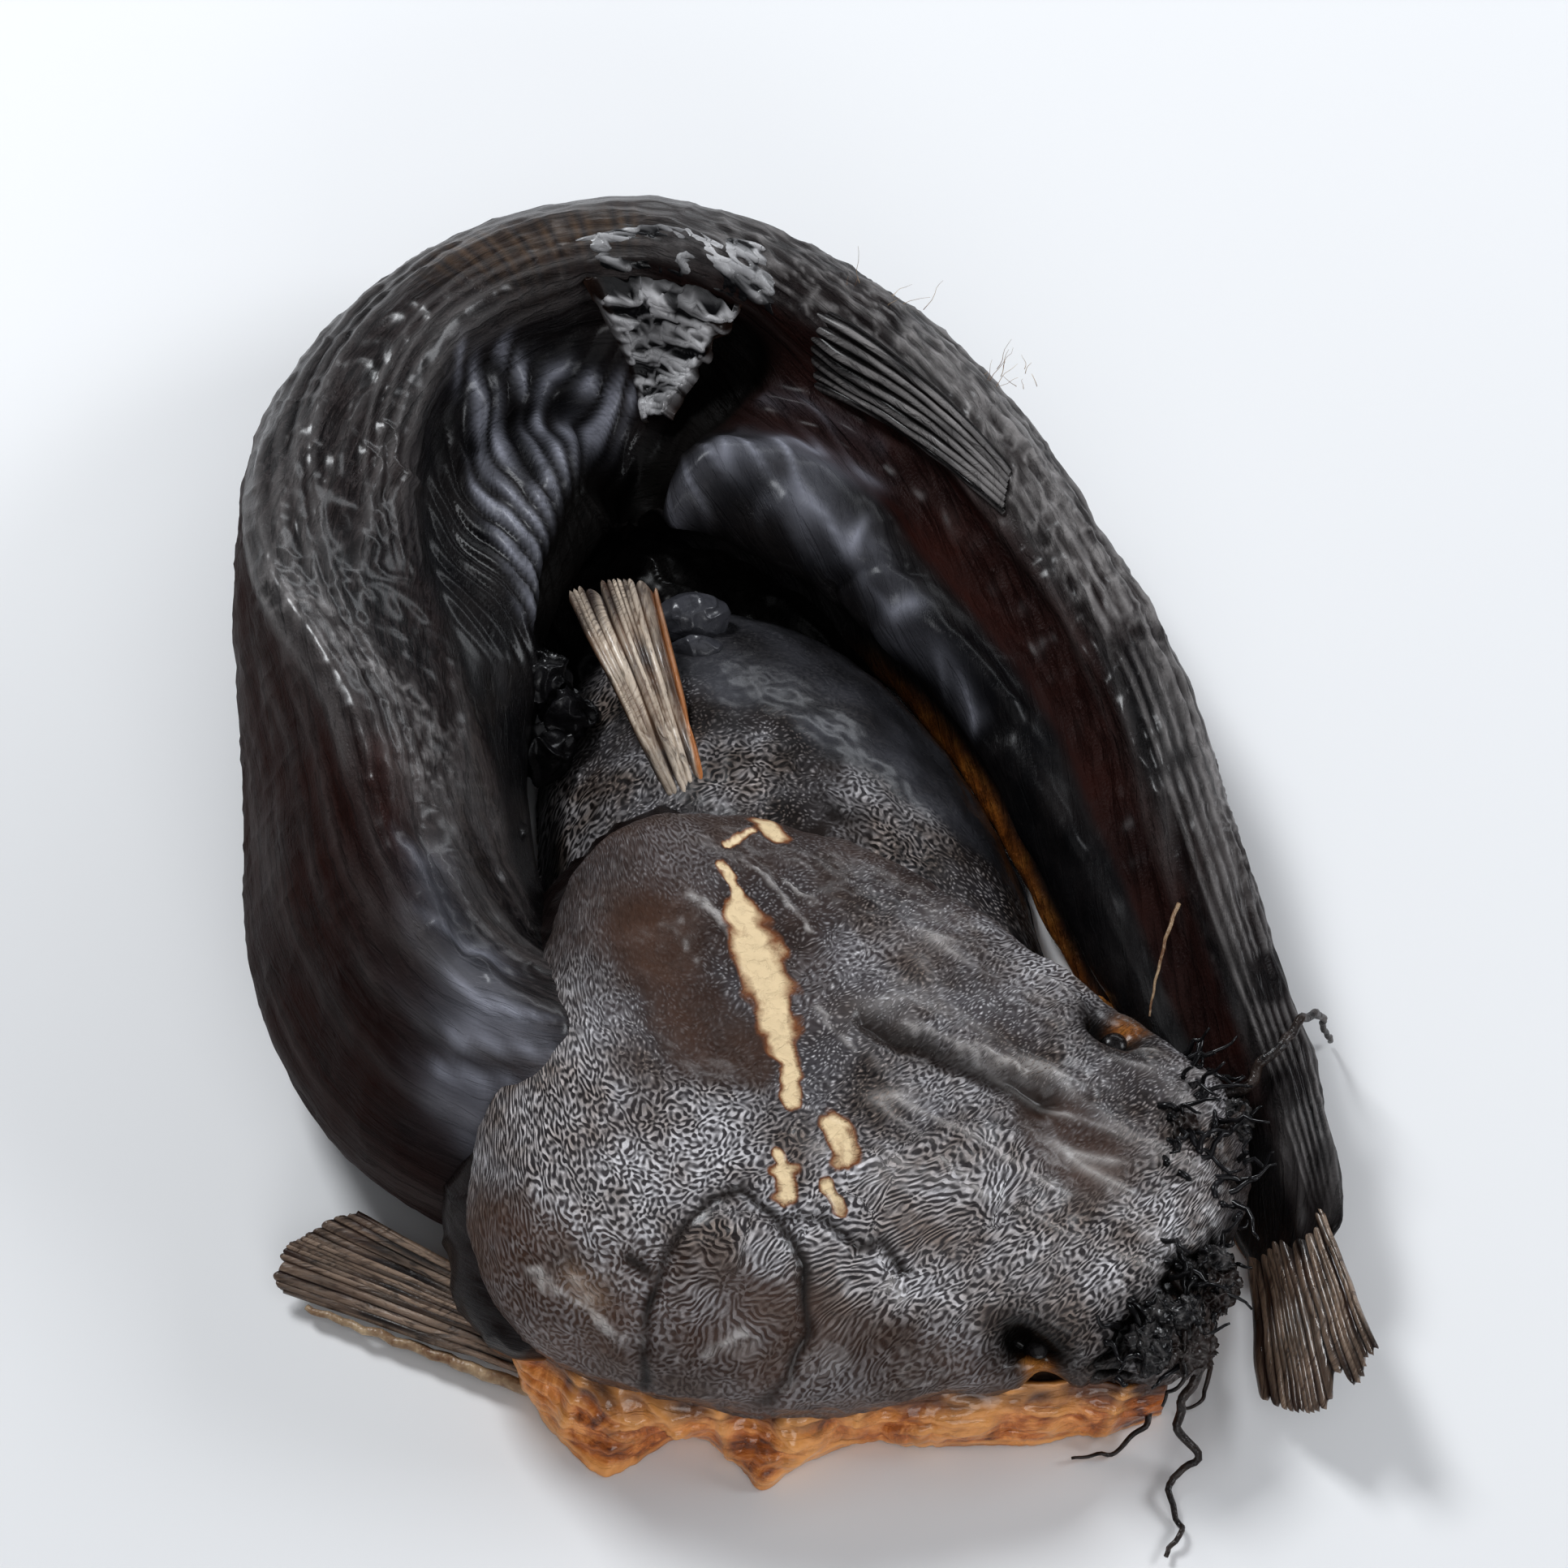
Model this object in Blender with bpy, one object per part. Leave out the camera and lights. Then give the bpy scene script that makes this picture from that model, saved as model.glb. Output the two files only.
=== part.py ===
"""Smoked catfish, curled into a ring with its tail brought round to its snout.

Metres, +Z up. The fish lies on its throat and its right flank, the way that a curled fish is dried:
the head is level with its crown up, and behind the neck the trunk rolls over until the back is the
outer side of the ring and the left flank faces up. The snout points along +X.

The head, the shoulders, the trunk, the spread gill cover, the fins, a fold of skin and the two long
barbels are lofts that a Boolean union joins into the one solid of the fish.
"""

import math

import bmesh
import bpy
import numpy as np
from mathutils import Matrix, Vector

CM = 0.01
MM = 0.001

# The head, in centimetres behind the snout tip: half width, height of crown and of throat.
SNOUT_TIP = Vector((7.15, -6.75, 0)) * CM
HEAD_HEADING = math.radians(-15)
HEAD_STATIONS = [
    # behind, half width, crown, throat
    (0.00, 0.70, 1.55, 0.95),
    (0.15, 1.60, 1.80, 0.65),
    (0.60, 2.40, 2.05, 0.35),
    (1.40, 3.00, 2.32, 0.08),
    (2.80, 3.55, 2.70, -0.08),
    (4.40, 4.05, 3.15, -0.08),
    (6.20, 4.50, 3.60, -0.08),
    (7.80, 4.70, 3.90, -0.08),
    (9.20, 4.50, 4.10, -0.04),
    (10.1, 3.95, 4.10, 0.15),
    (10.7, 2.95, 3.75, 0.60),
    (11.0, 1.40, 2.90, 1.30),
]
HEAD_SQUARENESS = 2.9
HEAD_AXIS_SHARE = 0.45
HEAD_RINGS = 30
HEAD_POINTS = 36

# The eye sockets and the mouth, in centimetres behind the snout tip and out from the head's middle.
EYE_BEHIND = 2.4
EYE_OUT = 2.75
EYE_HEIGHT = 2.1
EYE_RADIUS = 0.42
MOUTH_DEPTH = 1.1
MOUTH_HALF_WIDTH = 2.7
MOUTH_HEIGHT = 0.85
MOUTH_ROOT = 0.02
MOUTH_GAPE = 0.22
MOUTH_CLEARANCE = 0.5

# The shoulders close the head's back corners and carry the breast fins.
SHOULDER_MIDDLE = Vector((-2.10, -4.05, 1.60))
SHOULDER_REACH = Vector((2.05, 4.60, 2.20))

# The trunk and tail: the stations of the centre line in plan, in centimetres.
BODY_PATH = [
    (-0.60, -5.10), (-2.60, -4.80), (-4.20, -3.90), (-5.20, -2.00), (-5.60, 0.40), (-5.60, 3.00),
    (-5.05, 5.50), (-3.85, 7.50), (-1.90, 8.55), (0.15, 7.95), (2.25, 6.45), (3.90, 4.45),
    (5.15, 2.20), (5.95, -0.25), (6.80, -2.60), (7.60, -4.65), (8.05, -6.20), (8.15, -6.75),
]
# Its cross-sections at some of the stations, in centimetres out from the ring's middle and up from
# the ground. Each runs from the folded fin on the back, over the left flank and round the belly to
# the right flank: four points of the back, three of the sunken flank, the roll of skin along the
# belly and its edge, the undercut below, the rim on the ground, three of the underside, two of the
# right flank.
BODY_SECTIONS = {
    # station: sixteen points (out, up)
    0: [(0.00, 3.80), (-0.70, 3.65), (-1.30, 3.20), (-1.65, 2.75), (-1.85, 2.35), (-1.95, 2.00),
        (-1.95, 1.60), (-1.85, 1.20), (-1.65, 0.80), (-1.35, 0.40), (-0.90, 0.10), (-0.40, -0.08),
        (0.20, -0.08), (1.00, 0.20), (1.80, 1.20), (1.30, 3.00)],
    3: [(0.05, 5.00), (-0.55, 4.65), (-1.15, 4.15), (-1.60, 3.60), (-1.95, 3.10), (-2.15, 2.60),
        (-2.25, 2.15), (-2.25, 1.65), (-2.10, 1.15), (-1.75, 0.55), (-1.25, 0.12), (-0.60, -0.08),
        (0.20, -0.08), (1.20, 0.20), (2.25, 1.60), (1.35, 3.75)],
    4: [(0.35, 5.20), (-0.30, 4.75), (-0.95, 4.25), (-1.45, 3.70), (-1.80, 3.20), (-2.05, 2.75),
        (-2.20, 2.30), (-2.20, 1.85), (-2.10, 1.30), (-1.80, 0.65), (-1.30, 0.15), (-0.60, -0.08),
        (0.20, -0.08), (1.25, 0.20), (2.20, 1.60), (1.50, 3.75)],
    5: [(1.85, 4.75), (0.95, 4.70), (0.15, 4.35), (-0.50, 3.85), (-1.00, 3.40), (-1.50, 3.10),
        (-1.95, 2.85), (-2.30, 2.40), (-2.35, 1.75), (-2.05, 0.95), (-1.55, 0.25), (-0.70, -0.08),
        (0.25, -0.08), (1.45, 0.20), (2.35, 1.50), (2.35, 3.40)],
    6: [(2.80, 3.75), (2.05, 4.20), (1.30, 4.25), (0.60, 3.95), (0.15, 3.15), (-0.40, 2.75),
        (-1.20, 2.85), (-2.00, 2.75), (-2.50, 2.05), (-2.25, 1.15), (-1.85, 0.40), (-0.95, -0.08),
        (0.25, -0.08), (1.60, 0.15), (2.60, 1.20), (2.95, 2.60)],
    7: [(3.30, 3.10), (2.70, 3.75), (2.00, 4.10), (1.30, 4.05), (0.95, 2.95), (0.35, 2.35),
        (-0.60, 2.55), (-1.70, 2.70), (-2.55, 2.05), (-2.25, 1.20), (-2.05, 0.50), (-1.20, -0.08),
        (0.25, -0.08), (1.75, 0.15), (2.80, 1.00), (3.25, 2.10)],
    7.9: [(3.35, 2.90), (2.80, 3.60), (2.10, 3.95), (1.35, 3.90), (1.05, 2.70), (0.45, 1.90),
          (-0.50, 1.45), (-1.50, 1.25), (-2.40, 1.15), (-2.20, 0.85), (-2.25, 0.45), (-1.35, -0.08),
          (0.20, -0.08), (1.75, 0.15), (2.80, 0.95), (3.30, 1.95)],
    8.6: [(3.10, 2.85), (2.60, 3.50), (1.95, 3.80), (1.20, 3.75), (0.90, 2.80), (0.30, 2.15),
          (-0.60, 2.20), (-1.80, 2.75), (-2.65, 2.25), (-2.15, 1.25), (-2.35, 0.55), (-1.35, -0.08),
          (0.15, -0.08), (1.60, 0.15), (2.60, 0.90), (3.05, 1.85)],
    9: [(2.95, 2.80), (2.45, 3.40), (1.80, 3.65), (1.10, 3.55), (0.80, 2.80), (0.20, 2.35),
        (-0.70, 2.50), (-1.75, 2.95), (-2.60, 2.35), (-2.00, 1.30), (-2.30, 0.55), (-1.30, -0.08),
        (0.15, -0.08), (1.50, 0.15), (2.45, 0.85), (2.90, 1.80)],
    11: [(2.00, 2.35), (1.60, 2.95), (1.10, 3.15), (0.60, 3.00), (0.25, 2.70), (-0.25, 2.50),
         (-0.80, 2.55), (-1.45, 2.80), (-2.00, 2.15), (-1.50, 1.20), (-1.80, 0.50), (-1.10, -0.08),
         (0.00, -0.08), (0.95, 0.12), (1.65, 0.70), (1.95, 1.50)],
    13: [(1.55, 2.00), (1.20, 2.45), (0.80, 2.60), (0.40, 2.45), (0.10, 2.20), (-0.20, 2.10),
         (-0.50, 2.10), (-0.95, 2.15), (-1.40, 1.60), (-1.10, 0.95), (-1.40, 0.42), (-0.90, -0.08),
         (0.00, -0.08), (0.80, 0.10), (1.30, 0.60), (1.52, 1.25)],
    15: [(0.95, 1.75), (0.70, 1.82), (0.45, 1.75), (0.20, 1.60), (0.00, 1.42), (-0.20, 1.25),
         (-0.40, 1.10), (-0.60, 0.95), (-0.85, 0.65), (-0.80, 0.40), (-0.85, 0.18), (-0.60, -0.06),
         (-0.10, -0.06), (0.35, 0.12), (0.75, 0.60), (0.92, 1.20)],
    17: [(0.44, 1.28), (0.34, 1.24), (0.24, 1.13), (0.14, 1.00), (0.04, 0.86), (-0.06, 0.72),
         (-0.16, 0.57), (-0.26, 0.42), (-0.36, 0.25), (-0.42, 0.12), (-0.40, 0.02), (-0.30, -0.02),
         (-0.12, 0.08), (0.08, 0.38), (0.28, 0.75), (0.42, 1.08)],
}
BODY_RINGS = 60
BODY_POINTS = 36
BEND_REACH = 0.75

# The left gill cover stands out from the far side of the head, inside the ring.
GILL_MIDDLE = Vector((0.70, -0.80, -0.15))
GILL_REACH = Vector((6.30, 3.70, 3.00))
GILL_TURN = math.radians(110)

# The fins that stand clear: both ends of the root and of the tip, in centimetres, how far the tip
# bows out, and how many rays there are.
FINS = {
    # name: root, root, tip, tip, bow, rays
    "near_breast_fin": ((-2.1, -8.7, 0.45), (-2.7, -7.7, 0.9), (-5.9, -8.3, 0.2), (-7.1, -5.9, 0.8), 0.35, 9),
    "far_breast_fin": ((-0.5, 0.1, 1.9), (-1.4, 0.6, 1.9), (-1.7, 4.1, 2.6), (-3.1, 3.8, 2.6), 0.35, 6),
    "tail_fin": ((7.35, -5.7, 0.2), (8.35, -5.8, 1.35), (7.5, -8.7, 0.2), (9.15, -8.6, 1.9), 0.65, 9),
    "skin_fold": ((-3.3, 9.6, 3.7), (0.2, 8.9, 3.5), (-2.2, 7.9, 3.1), (-0.8, 7.5, 3.0), 0.25, 4),
}
RAY_TAPER = 0.55
FIN_STEPS = 8
FIN_THICKNESS = 2.2 * MM
RAY_RELIEF = 0.45 * MM

# The two long barbels, from the corners of the mouth down to the ground, in centimetres.
BARBELS = {
    "near_barbel": [(5.9, -8.6, 0.9), (6.6, -9.2, 0.45), (6.45, -9.75, 0.16), (6.75, -10.3, 0.13),
                    (6.5, -10.9, 0.1)],
    "far_barbel": [(6.9, -4.6, 1.2), (7.5, -4.2, 1.4), (8.1, -3.6, 1.1), (8.5, -3.0, 0.4), (9.0, -2.7, 0.1)],
}
BARBEL_RADII = (1.5 * MM, 0.7 * MM)
BARBEL_POINTS = 6
BARBEL_STEPS = 12

GROUND_SIZE = 50 * CM

SKIN_COLOUR = (0.035, 0.026, 0.020, 1)
SKIN_ROUGHNESS = 0.42


def clear_scene():
    for thing in list(bpy.data.objects):
        bpy.data.objects.remove(thing)


def add_object(name, bm):
    """The object made from this bmesh, with its faces pointing outwards."""
    bmesh.ops.recalc_face_normals(bm, faces=bm.faces)
    mesh = bpy.data.meshes.new(name)
    bm.to_mesh(mesh)
    bm.free()
    piece = bpy.data.objects.new(name, mesh)
    bpy.context.scene.collection.objects.link(piece)
    return piece


def smooth(knots, values, where):
    """The values at these places, on a smooth curve through the values at the knots."""
    knots, values, where = (np.asarray(numbers, float) for numbers in (knots, values, where))
    slopes = np.gradient(values, knots, axis=0)
    before = np.clip(np.searchsorted(knots, where, side="right") - 1, 0, len(knots) - 2)
    span = (knots[before + 1] - knots[before]).reshape([-1] + [1] * (values.ndim - 1))
    t = (where - knots[before]).reshape(span.shape) / span
    from_value, to_value = values[before], values[before + 1]
    rise = 3 * (to_value - from_value) - span * (2 * slopes[before] + slopes[before + 1])
    curl = 2 * (from_value - to_value) + span * (slopes[before] + slopes[before + 1])
    return from_value + t * (span * slopes[before] + t * (rise + t * curl))


def even_steps(path, count):
    """Where to stand on a path, counted in its stations, to cut it into even lengths."""
    fine = np.linspace(0, len(path) - 1, 20 * len(path))
    places = smooth(range(len(path)), path, fine)
    lengths = np.concatenate([[0], np.cumsum(np.linalg.norm(np.diff(places, axis=0), axis=1))])
    return np.interp(np.linspace(0, lengths[-1], count), lengths, fine)


def super_ellipse(angle, squareness):
    """How far up and how far to the left a unit superellipse is, at this angle from its top."""
    up, left = math.cos(angle), math.sin(angle)
    power = 2 / squareness
    return math.copysign(abs(up) ** power, up), math.copysign(abs(left) ** power, left)


def loft(name, rings):
    """A closed tube: one ring of points extruded to the next, with both ends filled."""
    bm = bmesh.new()
    ring = bmesh.ops.create_circle(bm, segments=len(rings[0]))["verts"]
    bm.faces.new(ring)
    for vert, place in zip(ring, rings[0]):
        vert.co = place
    for places in rings[1:]:
        edges = [bm.edges.get((a, b)) for a, b in zip(ring, ring[1:] + ring[:1])]
        made = bmesh.ops.extrude_edge_only(bm, edges=edges)["geom"]
        new = {v for v in made if isinstance(v, bmesh.types.BMVert)}
        ring = [next(e.other_vert(v) for e in v.link_edges if e.other_vert(v) in new) for v in ring]
        for vert, place in zip(ring, places):
            vert.co = place
    bm.faces.new(ring)
    return add_object(name, bm)


def head_frame():
    """The head's own directions in plan: forwards, and out to its left."""
    forward = Vector((math.cos(HEAD_HEADING), math.sin(HEAD_HEADING), 0))
    return forward, Vector((-forward.y, forward.x, 0))


def on_head(behind, out, height):
    """A place on the head, in centimetres behind the snout tip, out to the left, and up."""
    forward, left = head_frame()
    return SNOUT_TIP + (left * out - forward * behind + Vector((0, 0, height))) * CM


def head():
    """The broad flat head: a blunt snout that widens to the gills, on a level throat."""
    rings = []
    table = np.array(HEAD_STATIONS)
    stands = even_steps(HEAD_STATIONS, HEAD_RINGS)
    for behind, half_width, crown, throat in smooth(range(len(table)), table, stands):
        axis = throat + HEAD_AXIS_SHARE * (crown - throat)
        ring = []
        for k in range(HEAD_POINTS):
            up, side = super_ellipse(2 * math.pi * k / HEAD_POINTS, HEAD_SQUARENESS)
            height = axis + up * (crown - axis if up > 0 else axis - throat)
            ring.append(on_head(behind, side * half_width, height))
        rings.append(ring)
    return loft("head", rings)


def closed_section(points, count):
    """A closed outline through the points, as this many points."""
    wrapped = np.array(points[-3:] + points + points[:3])
    return smooth(range(-3, len(points) + 3), wrapped, np.arange(count) * len(points) / count)


def body():
    """The trunk and tail, from inside the back of the head round the ring to the root of the tail fin."""
    stands = even_steps(BODY_PATH, BODY_RINGS)
    centres = smooth(range(len(BODY_PATH)), BODY_PATH, stands)
    ahead = smooth(range(len(BODY_PATH)), BODY_PATH, np.minimum(stands + BEND_REACH, len(BODY_PATH) - 1))
    astern = smooth(range(len(BODY_PATH)), BODY_PATH, np.maximum(stands - BEND_REACH, 0))
    outlines = [closed_section(points, BODY_POINTS) for points in BODY_SECTIONS.values()]
    sections = smooth(list(BODY_SECTIONS), outlines, stands)
    rings = []
    for centre, step, section in zip(centres, ahead - astern, sections):
        outward = Vector((-step[1], step[0])).normalized()
        rings.append([Vector((*(centre + outward * out), up)) * CM for out, up in section])
    return loft("body", rings)


def lump(name, middle, reach, turn, segments, rings):
    """A smooth rounded lump, turned about the upright."""
    bm = bmesh.new()
    bmesh.ops.create_uvsphere(bm, u_segments=segments, v_segments=rings, radius=CM)
    place = Matrix.Translation(middle * CM) @ Matrix.Rotation(turn, 4, "Z") @ Matrix.Diagonal(reach).to_4x4()
    bmesh.ops.transform(bm, matrix=place, verts=bm.verts)
    return add_object(name, bm)


def fin(name, roots, tips, bow, rays):
    """A spread fin: a thin sheet from its root to its bowed tip, thicker along each of its rays."""
    roots, tips = [Vector(p) * CM for p in roots], [Vector(p) * CM for p in tips]
    outward = ((tips[0] + tips[1]) - (roots[0] + roots[1])).normalized()
    face = (tips[0] - roots[0]).cross(roots[1] - roots[0]).normalized()
    count = 2 * rays + 1
    rings = []
    for step in range(FIN_STEPS):
        share = step / (FIN_STEPS - 1)
        upper, lower = [], []
        for k in range(count):
            side = k / (count - 1)
            root = roots[0].lerp(roots[1], side)
            tip = tips[0].lerp(tips[1], side) + outward * bow * CM * 4 * side * (1 - side)
            edge = min(1, 4 * side + 0.3, 4 * (1 - side) + 0.3)
            half = 0.5 * FIN_THICKNESS * (1 - RAY_TAPER * share) * edge + (RAY_RELIEF if k % 2 else 0)
            upper.append(root.lerp(tip, share) + face * half)
            lower.append(root.lerp(tip, share) - face * half)
        rings.append(upper + lower[::-1])
    return loft(name, rings)


def barbel(name, route):
    """A long barbel: a thin tapering tube along its route."""
    rows = [Vector(row) * CM for row in smooth(range(len(route)), route, even_steps(route, BARBEL_STEPS))]
    rings = []
    for i, middle in enumerate(rows):
        along = (rows[min(i + 1, BARBEL_STEPS - 1)] - rows[max(i - 1, 0)]).normalized()
        across = along.cross(Vector((0, 0, 1))).normalized()
        over = across.cross(along)
        radius = np.interp(i, (0, BARBEL_STEPS - 1), BARBEL_RADII)
        turns = [2 * math.pi * k / BARBEL_POINTS for k in range(BARBEL_POINTS)]
        rings.append([middle + (across * math.cos(a) + over * math.sin(a)) * radius for a in turns])
    return loft(name, rings)


def mouth():
    """The wedge that opens the mouth, wide at the lips and closing inwards."""
    rings = []
    for behind, gape in ((MOUTH_DEPTH, MOUTH_ROOT), (-MOUTH_CLEARANCE, MOUTH_GAPE)):
        corners = ((1, -gape), (1, gape), (-1, gape), (-1, -gape))
        rings.append([on_head(behind, side * MOUTH_HALF_WIDTH, MOUTH_HEIGHT + up) for side, up in corners])
    return loft("mouth", rings)


def ground():
    """A block whose top is the ground, which cuts the flat spots that the fish rests on."""
    bm = bmesh.new()
    bmesh.ops.create_cube(bm, size=GROUND_SIZE)
    bmesh.ops.translate(bm, verts=bm.verts, vec=(0, 0, -GROUND_SIZE / 2))
    return add_object("ground", bm)


def combine(target, operand, operation):
    """Joins the operand to the target, or cuts it out, and hides the operand."""
    operand.parent = target.parent
    change = target.modifiers.new(operand.name, "BOOLEAN")
    change.operation = operation
    change.solver = "EXACT"
    change.object = operand
    operand.hide_render = True
    operand.display_type = "WIRE"


def centre_over_origin(frame, fish):
    """Moves the whole fish so that the middle of its box stands over the origin."""
    evaluated = fish.evaluated_get(bpy.context.evaluated_depsgraph_get())
    low, high = Vector(evaluated.bound_box[0]), Vector(evaluated.bound_box[6])
    frame.location = (-0.5 * (low.x + high.x), -0.5 * (low.y + high.y), 0)


def skin_material():
    material = bpy.data.materials.new("smoked_skin")
    material.use_nodes = True
    shader = material.node_tree.nodes["Principled BSDF"]
    shader.inputs["Base Color"].default_value = SKIN_COLOUR
    shader.inputs["Roughness"].default_value = SKIN_ROUGHNESS
    return material


def main():
    clear_scene()
    frame = bpy.data.objects.new("ring_frame", None)
    bpy.context.scene.collection.objects.link(frame)
    fish = body()
    fish.name = "smoked_fish"
    fish.parent = frame
    joined = [head(), lump("shoulders", SHOULDER_MIDDLE, SHOULDER_REACH, HEAD_HEADING, 28, 14)]
    joined.append(lump("gill_cover", GILL_MIDDLE, GILL_REACH, GILL_TURN, 32, 16))
    for name, (root, other_root, tip, other_tip, bow, rays) in FINS.items():
        joined.append(fin(name, (root, other_root), (tip, other_tip), bow, rays))
    joined += [barbel(name, route) for name, route in BARBELS.items()]
    for piece in joined:
        combine(fish, piece, "UNION")
    eye_reach = Vector((EYE_RADIUS, EYE_RADIUS, EYE_RADIUS))
    for side, name in ((-1, "near_eye"), (1, "far_eye")):
        middle = on_head(EYE_BEHIND, side * EYE_OUT, EYE_HEIGHT) / CM
        combine(fish, lump(name, middle, eye_reach, 0, 12, 8), "DIFFERENCE")
    combine(fish, mouth(), "DIFFERENCE")
    combine(fish, ground(), "DIFFERENCE")
    fish.data.materials.append(skin_material())
    centre_over_origin(frame, fish)


main()
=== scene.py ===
import math

import bmesh
import bpy
import numpy as np
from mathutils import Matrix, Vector, noise


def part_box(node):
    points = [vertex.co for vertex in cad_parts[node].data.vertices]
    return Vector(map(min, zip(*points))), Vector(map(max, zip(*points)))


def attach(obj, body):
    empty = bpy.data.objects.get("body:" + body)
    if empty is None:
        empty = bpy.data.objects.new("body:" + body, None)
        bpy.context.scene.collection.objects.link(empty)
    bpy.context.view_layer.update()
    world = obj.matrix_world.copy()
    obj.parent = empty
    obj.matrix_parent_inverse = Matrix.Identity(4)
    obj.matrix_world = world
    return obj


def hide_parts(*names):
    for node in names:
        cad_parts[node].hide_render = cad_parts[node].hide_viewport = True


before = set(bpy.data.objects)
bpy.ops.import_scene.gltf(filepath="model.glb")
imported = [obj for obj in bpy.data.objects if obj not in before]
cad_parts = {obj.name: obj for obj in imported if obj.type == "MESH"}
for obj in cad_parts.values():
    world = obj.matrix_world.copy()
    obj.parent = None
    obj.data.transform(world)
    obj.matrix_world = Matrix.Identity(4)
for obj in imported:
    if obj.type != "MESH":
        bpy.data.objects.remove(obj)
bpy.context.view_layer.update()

# Trunk and tail: the eviscerated body, rolled over behind the neck and bent round to the snout, so
# that the folded back is outside and the left flank has sunk in. It is one closed skin over dried
# flesh, laid on rolled-up grids of places that follow named cross-sections, and wrinkled by noise.
CM = 0.01
cad_low, cad_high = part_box("smoked_fish")
RING_LOW_CORNER = np.array([-8.03, -10.93, 0.0])
RING_MIDDLE = np.array(cad_low) / CM - RING_LOW_CORNER

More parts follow.
